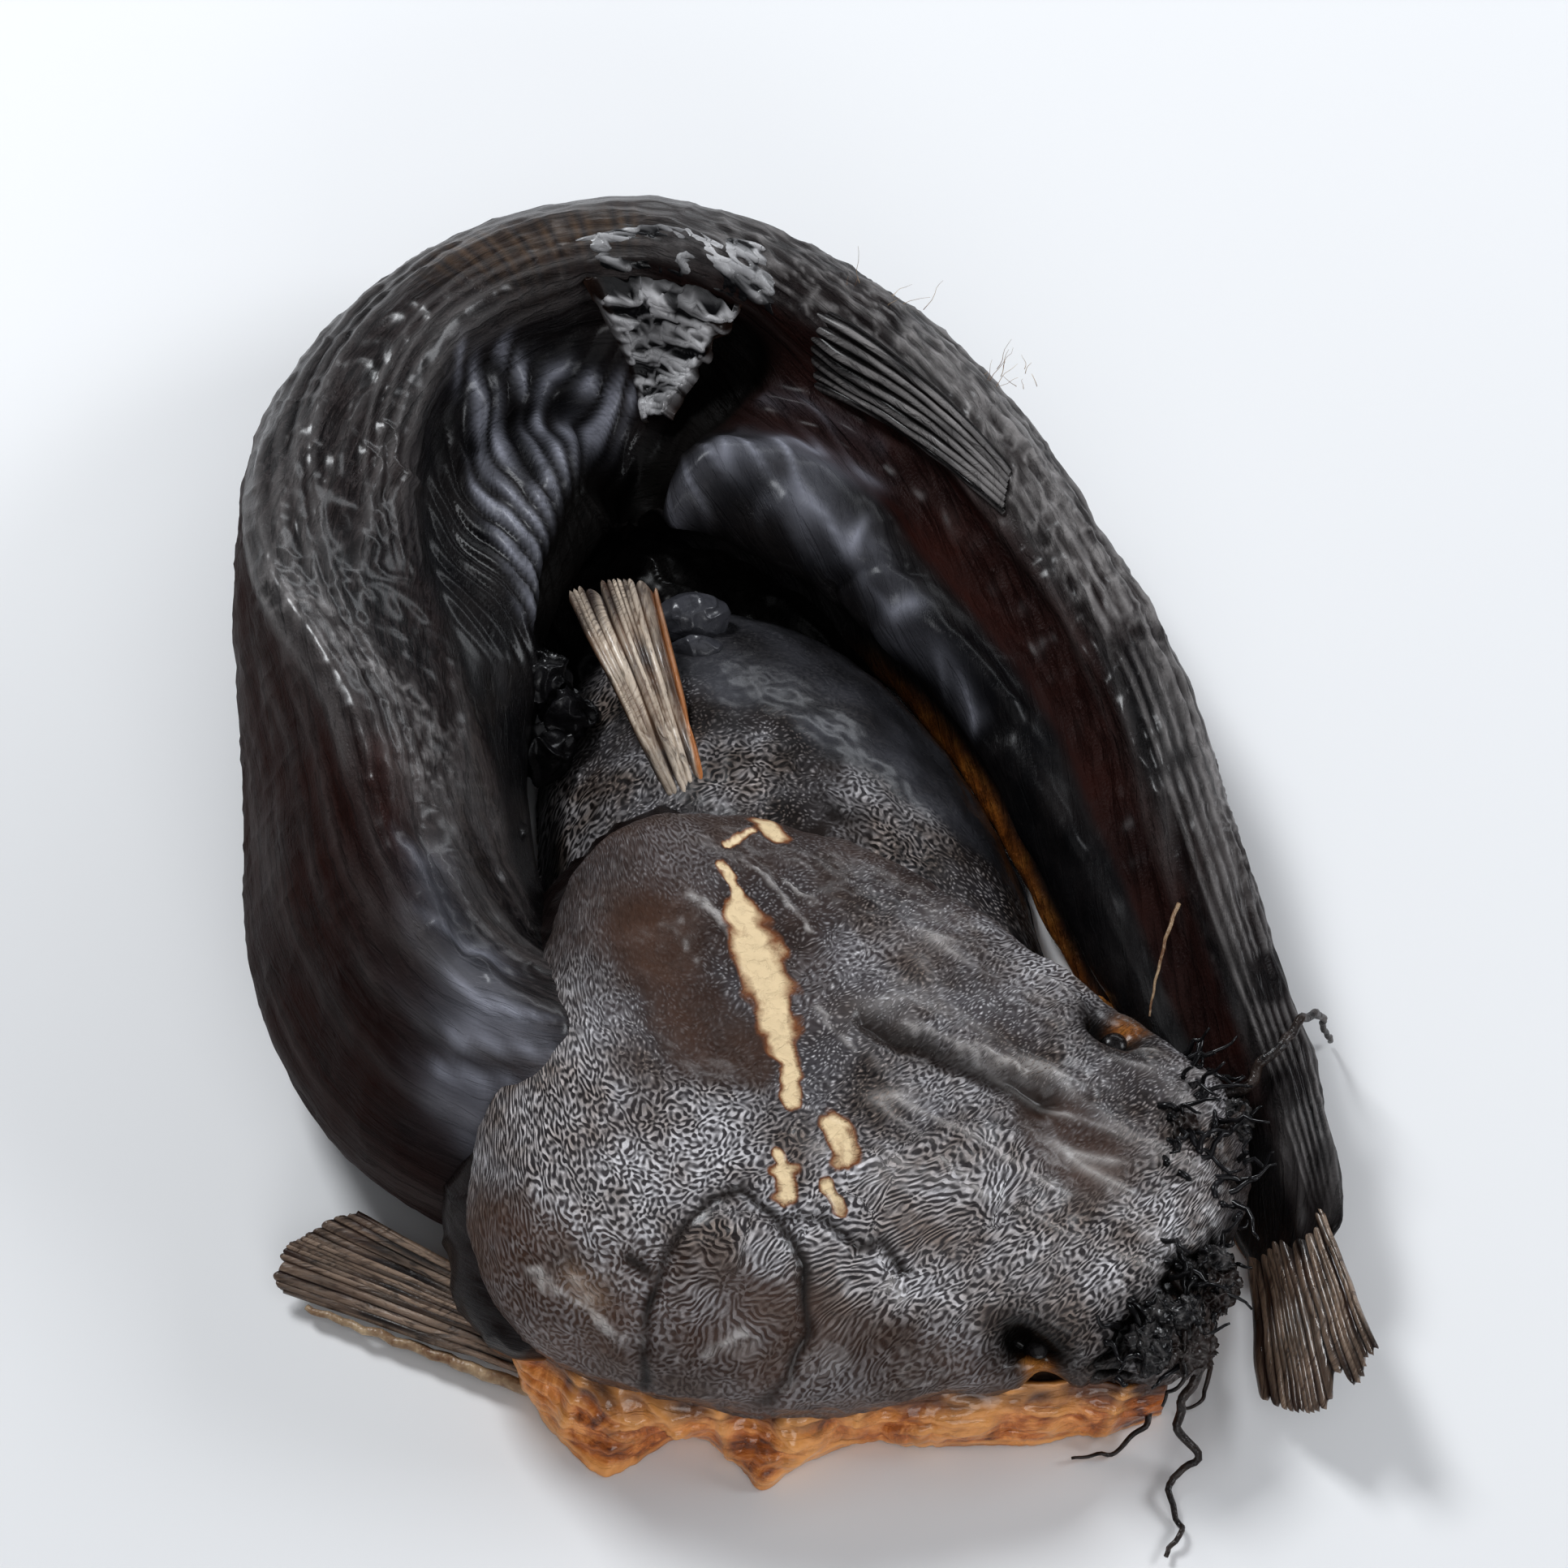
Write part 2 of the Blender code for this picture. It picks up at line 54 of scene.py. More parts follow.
BODY_PATH = [
    (-0.60, -5.10), (-2.60, -4.80), (-4.20, -3.90), (-5.20, -2.00), (-5.60, 0.40), (-5.60, 3.00),
    (-5.05, 5.50), (-3.85, 7.50), (-1.90, 8.55), (0.15, 7.95), (2.25, 6.45), (3.90, 4.45),
    (5.15, 2.20), (5.95, -0.25), (6.80, -2.60), (7.60, -4.65), (8.05, -6.20), (8.15, -6.75),
]
BODY_SECTIONS = {
    # station: sixteen points (out, up), from the back over the left flank and round to the back
    0: [(0.00, 3.80), (-0.70, 3.65), (-1.30, 3.20), (-1.65, 2.75), (-1.85, 2.35), (-1.95, 2.00),
        (-1.95, 1.60), (-1.85, 1.20), (-1.65, 0.80), (-1.35, 0.40), (-0.90, 0.10), (-0.40, -0.08),
        (0.20, -0.08), (1.00, 0.20), (1.80, 1.20), (1.30, 3.00)],
    3: [(0.05, 5.00), (-0.55, 4.65), (-1.15, 4.15), (-1.60, 3.60), (-1.95, 3.10), (-2.15, 2.60),
        (-2.25, 2.15), (-2.25, 1.65), (-2.10, 1.15), (-1.75, 0.55), (-1.25, 0.12), (-0.60, -0.08),
        (0.20, -0.08), (1.20, 0.20), (2.25, 1.60), (1.35, 3.75)],
    4: [(0.35, 5.20), (-0.30, 4.75), (-0.95, 4.25), (-1.45, 3.70), (-1.80, 3.20), (-2.05, 2.75),
        (-2.20, 2.30), (-2.20, 1.85), (-2.10, 1.30), (-1.80, 0.65), (-1.30, 0.15), (-0.60, -0.08),
        (0.20, -0.08), (1.25, 0.20), (2.20, 1.60), (1.50, 3.75)],
    5: [(1.85, 4.75), (0.95, 4.70), (0.15, 4.35), (-0.50, 3.85), (-1.00, 3.40), (-1.50, 3.10),
        (-1.95, 2.85), (-2.30, 2.40), (-2.35, 1.75), (-2.05, 0.95), (-1.55, 0.25), (-0.70, -0.08),
        (0.25, -0.08), (1.45, 0.20), (2.35, 1.50), (2.35, 3.40)],
    6: [(2.80, 3.75), (2.05, 4.20), (1.30, 4.25), (0.60, 3.95), (0.15, 3.15), (-0.40, 2.75),
        (-1.20, 2.85), (-2.00, 2.75), (-2.50, 2.05), (-2.25, 1.15), (-1.85, 0.40), (-0.95, -0.08),
        (0.25, -0.08), (1.60, 0.15), (2.60, 1.20), (2.95, 2.60)],
    7: [(3.30, 3.10), (2.70, 3.75), (2.00, 4.10), (1.30, 4.05), (0.95, 2.95), (0.35, 2.35),
        (-0.60, 2.55), (-1.70, 2.70), (-2.55, 2.05), (-2.25, 1.20), (-2.05, 0.50), (-1.20, -0.08),
        (0.25, -0.08), (1.75, 0.15), (2.80, 1.00), (3.25, 2.10)],
    7.9: [(3.35, 2.90), (2.80, 3.60), (2.10, 3.95), (1.35, 3.90), (1.05, 2.70), (0.45, 1.90),
          (-0.50, 1.45), (-1.50, 1.25), (-2.40, 1.15), (-2.20, 0.85), (-2.25, 0.45), (-1.35, -0.08),
          (0.20, -0.08), (1.75, 0.15), (2.80, 0.95), (3.30, 1.95)],
    8.6: [(3.10, 2.85), (2.60, 3.50), (1.95, 3.80), (1.20, 3.75), (0.90, 2.80), (0.30, 2.15),
          (-0.60, 2.20), (-1.80, 2.75), (-2.65, 2.25), (-2.15, 1.25), (-2.35, 0.55), (-1.35, -0.08),
          (0.15, -0.08), (1.60, 0.15), (2.60, 0.90), (3.05, 1.85)],
    9: [(2.95, 2.80), (2.45, 3.40), (1.80, 3.65), (1.10, 3.55), (0.80, 2.80), (0.20, 2.35),
        (-0.70, 2.50), (-1.75, 2.95), (-2.60, 2.35), (-2.00, 1.30), (-2.30, 0.55), (-1.30, -0.08),
        (0.15, -0.08), (1.50, 0.15), (2.45, 0.85), (2.90, 1.80)],
    11: [(2.00, 2.35), (1.60, 2.95), (1.10, 3.15), (0.60, 3.00), (0.25, 2.70), (-0.25, 2.50),
         (-0.80, 2.55), (-1.45, 2.80), (-2.00, 2.15), (-1.50, 1.20), (-1.80, 0.50), (-1.10, -0.08),
         (0.00, -0.08), (0.95, 0.12), (1.65, 0.70), (1.95, 1.50)],
    13: [(1.55, 2.00), (1.20, 2.45), (0.80, 2.60), (0.40, 2.45), (0.10, 2.20), (-0.20, 2.10),
         (-0.50, 2.10), (-0.95, 2.15), (-1.40, 1.60), (-1.10, 0.95), (-1.40, 0.42), (-0.90, -0.08),
         (0.00, -0.08), (0.80, 0.10), (1.30, 0.60), (1.52, 1.25)],
    15: [(0.95, 1.75), (0.70, 1.82), (0.45, 1.75), (0.20, 1.60), (0.00, 1.42), (-0.20, 1.25),
         (-0.40, 1.10), (-0.60, 0.95), (-0.85, 0.65), (-0.80, 0.40), (-0.85, 0.18), (-0.60, -0.06),
         (-0.10, -0.06), (0.35, 0.12), (0.75, 0.60), (0.92, 1.20)],
    17: [(0.44, 1.28), (0.34, 1.24), (0.24, 1.13), (0.14, 1.00), (0.04, 0.86), (-0.06, 0.72),
         (-0.16, 0.57), (-0.26, 0.42), (-0.36, 0.25), (-0.42, 0.12), (-0.40, 0.02), (-0.30, -0.02),
         (-0.12, 0.08), (0.08, 0.38), (0.28, 0.75), (0.42, 1.08)],
}
SECTION_SPAN = 16
STATION_LENGTH = 2.5
POINT_SPACING = 0.75
CURTAIN_FOLDS = [
    # height and half width of a crest, in centimetres, and its route of (station, section point)
    (0.22, 0.24, [(6.91, 3.6), (6.97, 4.48), (6.72, 5.45), (6.35, 6.03), (5.91, 6.41)]),
    (0.14, 0.15, [(7.24, 3.8), (7.27, 4.28), (7.25, 4.90)]),
    (0.12, 0.14, [(7.41, 4.86), (7.08, 5.74), (6.74, 6.41)]),
    (0.26, 0.24, [(7.91, 5.35), (7.41, 6.12), (6.69, 6.71), (6.22, 6.71), (5.71, 6.71), (5.39, 6.61)]),
    (0.12, 0.15, [(6.53, 5.16), (6.06, 5.93), (5.66, 6.32)]),
    (0.16, 0.18, [(7.97, 5.45), (7.71, 5.35), (7.59, 4.86), (7.46, 4.67)]),
]
BENDS = [
    (0.12, 0.20, [(6.24, 3.25), (6.53, 3.31), (6.94, 3.41), (7.22, 3.51), (7.60, 3.70)]),
    (0.05, 0.13, [(6.29, 2.64), (6.66, 2.93), (7.05, 3.02), (7.38, 3.12), (7.70, 3.22)]),
    (0.10, 0.09, [(6.14, 2.73), (6.09, 3.02), (5.96, 3.02), (5.93, 3.31), (6.01, 3.80)]),
    (0.07, 0.08, [(5.93, 2.44), (5.86, 2.75)]),
    (-0.10, 0.09, [(6.01, 2.93), (5.83, 2.93), (5.61, 2.64)]),
    (-0.16, 0.13, [(7.80, 3.45), (8.12, 3.90), (8.46, 4.09)]),
    (0.12, 0.22, [(1.90, 0.45), (1.73, 0.31), (1.29, -0.37), (1.06, -0.56), (1.02, -0.95)]),
    (0.10, 0.16, [(1.60, -0.50), (1.46, -0.66), (1.22, -1.14), (1.09, -1.43)]),
    (0.08, 0.25, [(2.90, 0.80), (2.63, 0.60), (2.00, 0.12), (1.63, -0.47)]),
    (-0.09, 0.20, [(3.20, 1.20), (2.40, 0.70), (1.80, 0.20)]),
    (0.10, 0.10, [(3.55, 4.90), (3.45, 4.60)]), (0.08, 0.20, [(9.60, 3.35), (10.8, 3.51), (11.89, 3.22), (12.9, 2.75)]),
    (0.08, 0.12, [(10.1, 1.55), (10.49, 1.47), (11.17, 1.28), (11.82, 1.28), (12.6, 0.90), (14.2, 0.60)]),
    (0.06, 0.10, [(10.6, 0.85), (11.3, 0.70), (12.2, 0.60), (13.4, 0.30)]),
]
ROLL_LUMPS = [
    (0.24, 0.42, [(8.90, 7.55), (9.05, 6.90), (9.35, 6.40), (9.80, 6.20), (10.3, 6.20)]),
    (0.14, 0.35, [(9.75, 7.30), (10.2, 7.15), (10.6, 7.05)]),
    (0.16, 0.30, [(10.9, 7.50), (11.3, 7.10), (11.9, 6.70)]), (0.12, 0.26, [(12.2, 7.40), (12.9, 6.90)]),
    (0.16, 0.18, [(9.04, 4.96), (9.36, 4.77), (9.80, 4.60)]), (-0.12, 0.16, [(10.4, 7.80), (10.7, 6.50)]),
]
VOID = [(8.66, 4.60), (8.52, 5.60), (8.34, 6.50), (8.38, 7.90)]
VOID_UNDER_CURTAIN = [(8.22, 6.90), (6.94, 7.45), (6.11, 7.45), (5.32, 7.25)]
GLINTS = [(4.75, 0.30), (4.57, 0.79), (4.36, 0.79), (4.26, 1.28), (4.04, 1.86), (3.60, 1.50)]
RIDGE_GLINTS = [(10.49, 1.47), (11.17, 1.28), (11.82, 1.28), (12.48, 0.60), (13.6, 0.50)]
BEND_REACH = 0.75
TRUNK_COLUMNS = 600
TRUNK_ROWS = 156


def smooth(knots, values, where):
    """The values at these places, on a smooth curve through the values at the knots."""
    knots, values, where = (np.asarray(numbers, float) for numbers in (knots, values, where))
    slopes = np.gradient(values, knots, axis=0)
    before = np.clip(np.searchsorted(knots, where, side="right") - 1, 0, len(knots) - 2)
    span = (knots[before + 1] - knots[before]).reshape([-1] + [1] * (values.ndim - 1))
    t = (where - knots[before]).reshape(span.shape) / span
    from_value, to_value = values[before], values[before + 1]
    rise = 3 * (to_value - from_value) - span * (2 * slopes[before] + slopes[before + 1])
    curl = 2 * (from_value - to_value) + span * (slopes[before] + slopes[before + 1])
    return from_value + t * (span * slopes[before] + t * (rise + t * curl))


def even_steps(path, count):
    """Where to stand on a path, counted in its stations, to cut it into even lengths."""
    fine = np.linspace(0, len(path) - 1, 20 * len(path))
    places = smooth(range(len(path)), path, fine)
    lengths = np.concatenate([[0], np.cumsum(np.linalg.norm(np.diff(places, axis=0), axis=1))])
    return np.interp(np.linspace(0, lengths[-1], count), lengths, fine)


def crumple(places, size, seed=0.0):
    """Soft noise between about -1 and 1, with lumps of this size, at every place."""
    spots = np.asarray(places) / size + seed
    values = [noise.noise(spot) for spot in spots.reshape(-1, 3).tolist()]
    return np.array(values).reshape(spots.shape[:-1])


def creases(places, size, seed=0.0, sharpness=3.5):
    """Thin crests between 0 and 1 that wander through the places, about this size apart."""
    return np.clip(1 - sharpness * np.abs(crumple(places, size, seed)), 0, 1) ** 1.5


def window(values, start, end, fade):
    """1 between start and end, fading to 0 over this much beyond them."""
    inside = np.minimum(values - start, end - values) / fade + 1
    share = np.clip(inside, 0, 1)
    return share * share * (3 - 2 * share)


def near_route(places, route, width):
    """1 on a route and fading to 0 beside it, as a bell of this half width."""
    places = np.asarray(places)[..., :len(route[0])]
    nearest = np.full(places.shape[:-1], np.inf)
    for start, end in zip(np.array(route[:-1], float), np.array(route[1:], float)):
        step = end - start
        share = np.clip(((places - start) @ step) / (step @ step), 0, 1)
        nearest = np.minimum(nearest, np.linalg.norm(places - start - share[..., None] * step, axis=-1))
    return np.exp(-((nearest / width) ** 2))


def outward(places, rolled):
    """The way out of the skin at every place of a grid, whose rows may be rolled into a tube."""
    along = np.gradient(places, axis=1)
    across = np.gradient(places, axis=0)
    if rolled:
        across[0] = across[-1] = (places[1] - places[-2]) / 2
    out = np.cross(along, across)
    return out / np.maximum(np.linalg.norm(out, axis=2, keepdims=True), 1e-9)


def spread(places):
    """How far every place of a grid is along its row and across its column, in centimetres."""
    zero_row, zero_column = np.zeros((1, places.shape[1])), np.zeros((places.shape[0], 1))
    along = np.linalg.norm(np.diff(places, axis=1), axis=2).mean(axis=0, keepdims=True)
    along = np.cumsum(np.hstack([np.zeros((1, 1)), along]), axis=1) + zero_column
    across = np.vstack([zero_row, np.cumsum(np.linalg.norm(np.diff(places, axis=0), axis=2), axis=0)])
    return along, across


def skin_piece(name, places, lay, masks, material, closed=True, stands_for_cad=True):
    """A skin on a grid of places, in centimetres from the ring's middle. lay is its flat layout."""
    rows, columns = places.shape[:2]
    bm = bmesh.new()
    bmesh.ops.create_grid(bm, x_segments=columns - 1, y_segments=rows - 1, size=0.5)
    mesh = bpy.data.meshes.new(name)
    bm.to_mesh(mesh)
    mesh.vertices.foreach_set("co", ((places + RING_MIDDLE) * CM).ravel())
    for mask, values in masks.items():
        shares = np.broadcast_to(values, (rows, columns)).astype(np.float32).ravel()
        mesh.attributes.new(mask, "FLOAT", "POINT").data.foreach_set("value", shares)
    corners = np.zeros(len(mesh.loops), np.int32)
    mesh.loops.foreach_get("vertex_index", corners)
    flat = np.stack(lay, axis=-1).reshape(-1, 2)[corners] * CM
    mesh.uv_layers.new(name="skin").data.foreach_set("uv", flat.astype(np.float32).ravel())
    bm.clear()
    bm.from_mesh(mesh)
    bmesh.ops.remove_doubles(bm, verts=bm.verts, dist=1e-6)
    if closed:
        bmesh.ops.recalc_face_normals(bm, faces=bm.faces)
        if bm.calc_volume(signed=True) < 0:
            bmesh.ops.reverse_faces(bm, faces=bm.faces)
    elif sum(face.normal.z * face.calc_area() for face in bm.faces) < 0:
        bmesh.ops.reverse_faces(bm, faces=bm.faces)
    bm.to_mesh(mesh)
    bm.free()
    mesh.shade_smooth()
    mesh.materials.append(material)
    piece = bpy.data.objects.new(name, mesh)
    bpy.context.scene.collection.objects.link(piece)
    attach(piece, "root")
    if stands_for_cad:
        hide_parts("smoked_fish")
    return piece


def add_node(tree, kind, sockets=(), **settings):
    """A shader node with its settings. Each socket is given a value, or another node's output."""
    made = tree.nodes.new("ShaderNode" + kind)
    for name, value in settings.items():
        setattr(made, name, value)
    for name, value in dict(sockets).items():
        if isinstance(value, bpy.types.NodeSocket):
            tree.links.new(value, made.inputs[name])
        else:
            made.inputs[name].default_value = value
    return made


def blended(tree, share, under, over):
    """The colour that goes from under to over with the share."""
    mix = add_node(tree, "Mix", {0: share, 6: under, 7: over}, data_type="RGBA")
    return mix.outputs[2]


def ranged(tree, value, low, high, to_low=0.0, to_high=1.0):
    """The value stretched from one range to another, and held inside it."""
    sockets = {"Value": value, "From Min": low, "From Max": high, "To Min": to_low, "To Max": to_high}
    return add_node(tree, "MapRange", sockets).outputs["Result"]


def computed(tree, operation, first, second=0.0):
    return add_node(tree, "Math", {0: first, 1: second}, operation=operation).outputs["Value"]


def new_group(name, inputs, outputs):
    """An empty shader node group, with its group input and output nodes."""
    group = bpy.data.node_groups.new(name, "ShaderNodeTree")
    for label, kind in inputs.items():
        group.interface.new_socket(label, in_out="INPUT", socket_type="NodeSocket" + kind)
    for label, kind in outputs.items():
        group.interface.new_socket(label, in_out="OUTPUT", socket_type="NodeSocket" + kind)
    return group, group.nodes.new("NodeGroupInput"), group.nodes.new("NodeGroupOutput")


# Smoke settles unevenly: cloudy patches of one colour over another, with small flecks.
smoke_tint, taken, given = new_group(
    "smoke_tint",
    {"Place": "Vector", "Dark": "Color", "Light": "Color", "Patch Scale": "Float"},
    {"Color": "Color", "Patches": "Float"},
)
patches = add_node(smoke_tint, "TexNoise", {"Vector": taken.outputs["Place"],
                   "Scale": taken.outputs["Patch Scale"], "Detail": 4.0, "Roughness": 0.62})
flecks = add_node(smoke_tint, "TexNoise", {"Vector": taken.outputs["Place"], "Scale": 1500.0, "Detail": 2.0})
cloud = ranged(smoke_tint, patches.outputs["Fac"], 0.38, 0.66)
fleck = ranged(smoke_tint, flecks.outputs["Fac"], 0.52, 0.75, 0.0, 0.35)
share = computed(smoke_tint, "ADD", cloud, fleck)
tint = blended(smoke_tint, share, taken.outputs["Dark"], taken.outputs["Light"])
smoke_tint.links.new(tint, given.inputs["Color"])
smoke_tint.links.new(cloud, given.inputs["Patches"])

# Dried skin is never smooth: fine wrinkles that follow the skin's stretch, and pores.
fine_grain, taken, given = new_group(
    "fine_grain", {"Place": "Vector", "Stretch": "Vector"}, {"Height": "Float", "Crests": "Float"})
stretched = add_node(fine_grain, "VectorMath", {0: taken.outputs["Place"], 1: taken.outputs["Stretch"]},
                     operation="MULTIPLY").outputs["Vector"]
wrinkles = add_node(fine_grain, "TexNoise", {"Vector": stretched, "Scale": 1.0, "Detail": 5.0,
                    "Roughness": 0.6, "Distortion": 0.6})
crest = computed(fine_grain, "ABSOLUTE", computed(fine_grain, "SUBTRACT", wrinkles.outputs["Fac"], 0.5))
crest = ranged(fine_grain, crest, 0.0, 0.16, 1.0, 0.0)
pores = add_node(fine_grain, "TexNoise", {"Vector": taken.outputs["Place"], "Scale": 2200.0, "Detail": 1.0})
height = computed(fine_grain, "ADD", wrinkles.outputs["Fac"], computed(fine_grain, "MULTIPLY", crest, 0.25))
height = computed(fine_grain, "ADD", height, computed(fine_grain, "MULTIPLY", pores.outputs["Fac"], 0.12))
fine_grain.links.new(height, given.inputs["Height"])
fine_grain.links.new(crest, given.inputs["Crests"])


# Shrunken skin gathers into fine ridges: a maze where it shrank evenly, combed ridges where it was
# pulled one way, and loose beads where it lies on bone. Ridges are 1, the furrows between them 0.
skin_ridges, taken, given = new_group(
    "skin_ridges",
    {"Place": "Vector", "Comb": "Float", "Combed": "Float", "Beaded": "Float", "Scale": "Float"},
    {"Height": "Float", "Tops": "Float"},
)
warp = add_node(skin_ridges, "TexNoise", {"Vector": taken.outputs["Place"], "Scale": 260.0, "Detail": 1.0},
                noise_dimensions="2D")
warp = add_node(skin_ridges, "VectorMath", {0: warp.outputs["Color"], 1: (0.0022, 0.0022, 0.0022)},
                operation="MULTIPLY").outputs["Vector"]
warped = add_node(skin_ridges, "VectorMath", {0: taken.outputs["Place"], 1: warp}, operation="ADD")
gabor = add_node(skin_ridges, "TexGabor", {"Vector": warped.outputs["Vector"], "Frequency": 1.7,
                 "Scale": computed(skin_ridges, "MULTIPLY", taken.outputs["Scale"], 0.5),
                 "Anisotropy": taken.outputs["Combed"]})
skin_ridges.links.new(taken.outputs["Comb"], gabor.inputs[4])
maze = ranged(skin_ridges, gabor.outputs["Value"], 0.40, 0.57)
cells = add_node(skin_ridges, "TexVoronoi", {"Vector": warped.outputs["Vector"], "Randomness": 1.0,
                 "Scale": computed(skin_ridges, "MULTIPLY", taken.outputs["Scale"], 1.15)},
                 voronoi_dimensions="2D")
beads = ranged(skin_ridges, cells.outputs["Distance"], 0.42, 0.12)
beads = computed(skin_ridges, "MULTIPLY", beads, ranged(skin_ridges, gabor.outputs["Value"], 0.30, 0.62, 0.25))
mixed = add_node(skin_ridges, "Mix", {0: taken.outputs["Beaded"], 2: maze, 3: beads}).outputs[0]
worn = add_node(skin_ridges, "TexNoise", {"Vector": taken.outputs["Place"], "Scale": 620.0, "Detail": 3.0,
                "Roughness": 0.65})
skin_ridges.links.new(mixed, given.inputs["Height"])
skin_ridges.links.new(computed(skin_ridges, "MULTIPLY", computed(skin_ridges, "POWER", mixed, 1.1),
                               ranged(skin_ridges, worn.outputs["Fac"], 0.28, 0.62, 0.35)), given.inputs["Tops"])


def mask_value(tree, mask):
    return add_node(tree, "Attribute", attribute_name=mask).outputs["Fac"]


def skin_material(name, black, ash, warm, crest, roughness, stretch, wrinkle_depth, coat, ridge_scale=0.0):
    """Smoked skin: black with an ashy bloom, warm where the smoke is thin, golden on the flesh, with painted sheen,
    shade and highlights.
    """
    material = bpy.data.materials.new(name)
    material.use_nodes = True
    tree = material.node_tree
    shader = tree.nodes["Principled BSDF"]
    place = add_node(tree, "TexCoord").outputs["Object"]
    layout = add_node(tree, "UVMap", uv_map="skin").outputs["UV"]
    tinted = add_node(tree, "Group", node_tree=smoke_tint)
    tree.links.new(place, tinted.inputs["Place"])
    tinted.inputs["Dark"].default_value = (*black, 1)
    tinted.inputs["Light"].default_value = (*ash, 1)
    tinted.inputs["Patch Scale"].default_value = 70.0
    grain = add_node(tree, "Group", node_tree=fine_grain)
    tree.links.new(layout, grain.inputs["Place"])
    grain.inputs["Stretch"].default_value = stretch
    worn = ranged(tree, grain.outputs["Crests"], 0.62, 1.0, 0.0, 0.30)
    bloom = computed(tree, "MULTIPLY", worn, mask_value(tree, "lines"))
    colour = blended(tree, bloom, tinted.outputs["Color"], (0.115, 0.095, 0.092, 1))
    patchy = ranged(tree, tinted.outputs["Patches"], 0.0, 1.0, 0.55, 1.0)
    warmth = computed(tree, "MULTIPLY", mask_value(tree, "warm"), patchy)
    colour = blended(tree, warmth, colour, (*warm, 1))
    # Painted sheen: a light bluish grey laid on where the skin stands in for a soft highlight.
    colour = blended(tree, mask_value(tree, "painted_sheen"), colour, (0.300, 0.305, 0.350, 1))
    # Crests: a light colour, partly pale wear and partly a painted glint.
    colour = blended(tree, mask_value(tree, "pale_crest_and_glint"), colour, (*crest, 1))
    colour = blended(tree, mask_value(tree, "tan"), colour, (0.36, 0.22, 0.12, 1))
    deep = computed(tree, "MULTIPLY", grain.outputs["Height"], ranged(tree, mask_value(tree, "satin"), 0, 1, 1.0, 0.35))
    bump = add_node(tree, "Bump", {"Height": deep, "Distance": wrinkle_depth})
    if ridge_scale:
        ridges = add_node(tree, "Group", node_tree=skin_ridges)
        tree.links.new(layout, ridges.inputs["Place"])
        tree.links.new(mask_value(tree, "comb"), ridges.inputs["Comb"])
        tree.links.new(mask_value(tree, "combed"), ridges.inputs["Combed"])
        tree.links.new(mask_value(tree, "beaded"), ridges.inputs["Beaded"])
        ridges.inputs["Scale"].default_value = ridge_scale
        # Painted sheen and highlight on the ridges: a soft grey veil in patches, and silver on the ridge tops.
        veil = add_node(tree, "TexNoise", {"Vector": place, "Scale": 95.0, "Detail": 3.0, "Roughness": 0.6})
        silver = blended(tree, ranged(tree, veil.outputs["Fac"], 0.36, 0.62), (0.36, 0.295, 0.26, 1),
                         (0.80, 0.775, 0.79, 1))
        veil_sheen = ranged(tree, veil.outputs["Fac"], 0.40, 0.70, 0.0, 0.55)
        colour = blended(tree, computed(tree, "MULTIPLY", veil_sheen, mask_value(tree, "maze")), colour,
                         (0.125, 0.118, 0.130, 1))
        shown = computed(tree, "MULTIPLY", ridges.outputs["Tops"], mask_value(tree, "maze"))
        colour = blended(tree, shown, colour, silver)
        raised = computed(tree, "MULTIPLY", ridges.outputs["Height"], ranged(tree, mask_value(tree, "maze"), 0, 0.6))
        bump = add_node(tree, "Bump", {"Height": raised, "Distance": RIDGE_HEIGHT,
                        "Normal": bump.outputs["Normal"]})
    # Painted shade: near black where the masks mark shadow, and on the head's dark sutures and char.
    colour = blended(tree, mask_value(tree, "dark_tone_and_shade"), colour, (0.0045, 0.0035, 0.003, 1))
    golds = add_node(tree, "TexNoise", {"Vector": place, "Scale": 160.0, "Detail": 5.0, "Roughness": 0.65})
    golden = add_node(tree, "ValToRGB", {"Fac": golds.outputs["Fac"]})
    golden.color_ramp.elements[0].position = 0.3
    golden.color_ramp.elements[0].color = (0.06, 0.017, 0.004, 1)
    golden.color_ramp.elements[1].position = 0.72
    golden.color_ramp.elements[1].color = (0.55, 0.25, 0.055, 1)
    middle = golden.color_ramp.elements.new(0.5)
    middle.color = (0.27, 0.095, 0.018, 1)
    colour = blended(tree, mask_value(tree, "gold"), colour, golden.outputs["Color"])
    bared = add_node(tree, "ValToRGB", {"Fac": computed(tree, "MULTIPLY", mask_value(tree, "scar"),
                     ranged(tree, golds.outputs["Fac"], 0.30, 0.50, 0.55))})
    bared.color_ramp.elements[0].position = 0.35
    bared.color_ramp.elements[0].color = (0.22, 0.085, 0.035, 1)
    bared.color_ramp.elements[1].position = 0.85
    bared.color_ramp.elements[1].color = (0.84, 0.66, 0.42, 1)
    colour = blended(tree, ranged(tree, mask_value(tree, "scar"), 0.15, 0.4), colour, bared.outputs["Color"])
    tree.links.new(colour, shader.inputs["Base Color"])
    rough = ranged(tree, tinted.outputs["Patches"], 0.0, 1.0, roughness - 0.06, roughness + 0.10)
    rough = computed(tree, "ADD", rough, computed(tree, "MULTIPLY", mask_value(tree, "scar"), 0.25))
    rough = computed(tree, "ADD", rough, computed(tree, "MULTIPLY", mask_value(tree, "matte"), 0.20))
    rough = computed(tree, "ADD", rough, computed(tree, "MULTIPLY", mask_value(tree, "satin"), 0.08))
    tree.links.new(rough, shader.inputs["Roughness"])
    shader.inputs["Specular IOR Level"].default_value = 0.10
    shine = ranged(tree, computed(tree, "MAXIMUM", mask_value(tree, "matte"),
                   computed(tree, "MULTIPLY", mask_value(tree, "satin"), 0.75)), 0.0, 1.0, coat, 0.0)
    tree.links.new(shine, shader.inputs["Coat Weight"])
    shader.inputs["Coat Roughness"].default_value = 0.24
    tree.links.new(bump.outputs["Normal"], shader.inputs["Normal"])
    return material


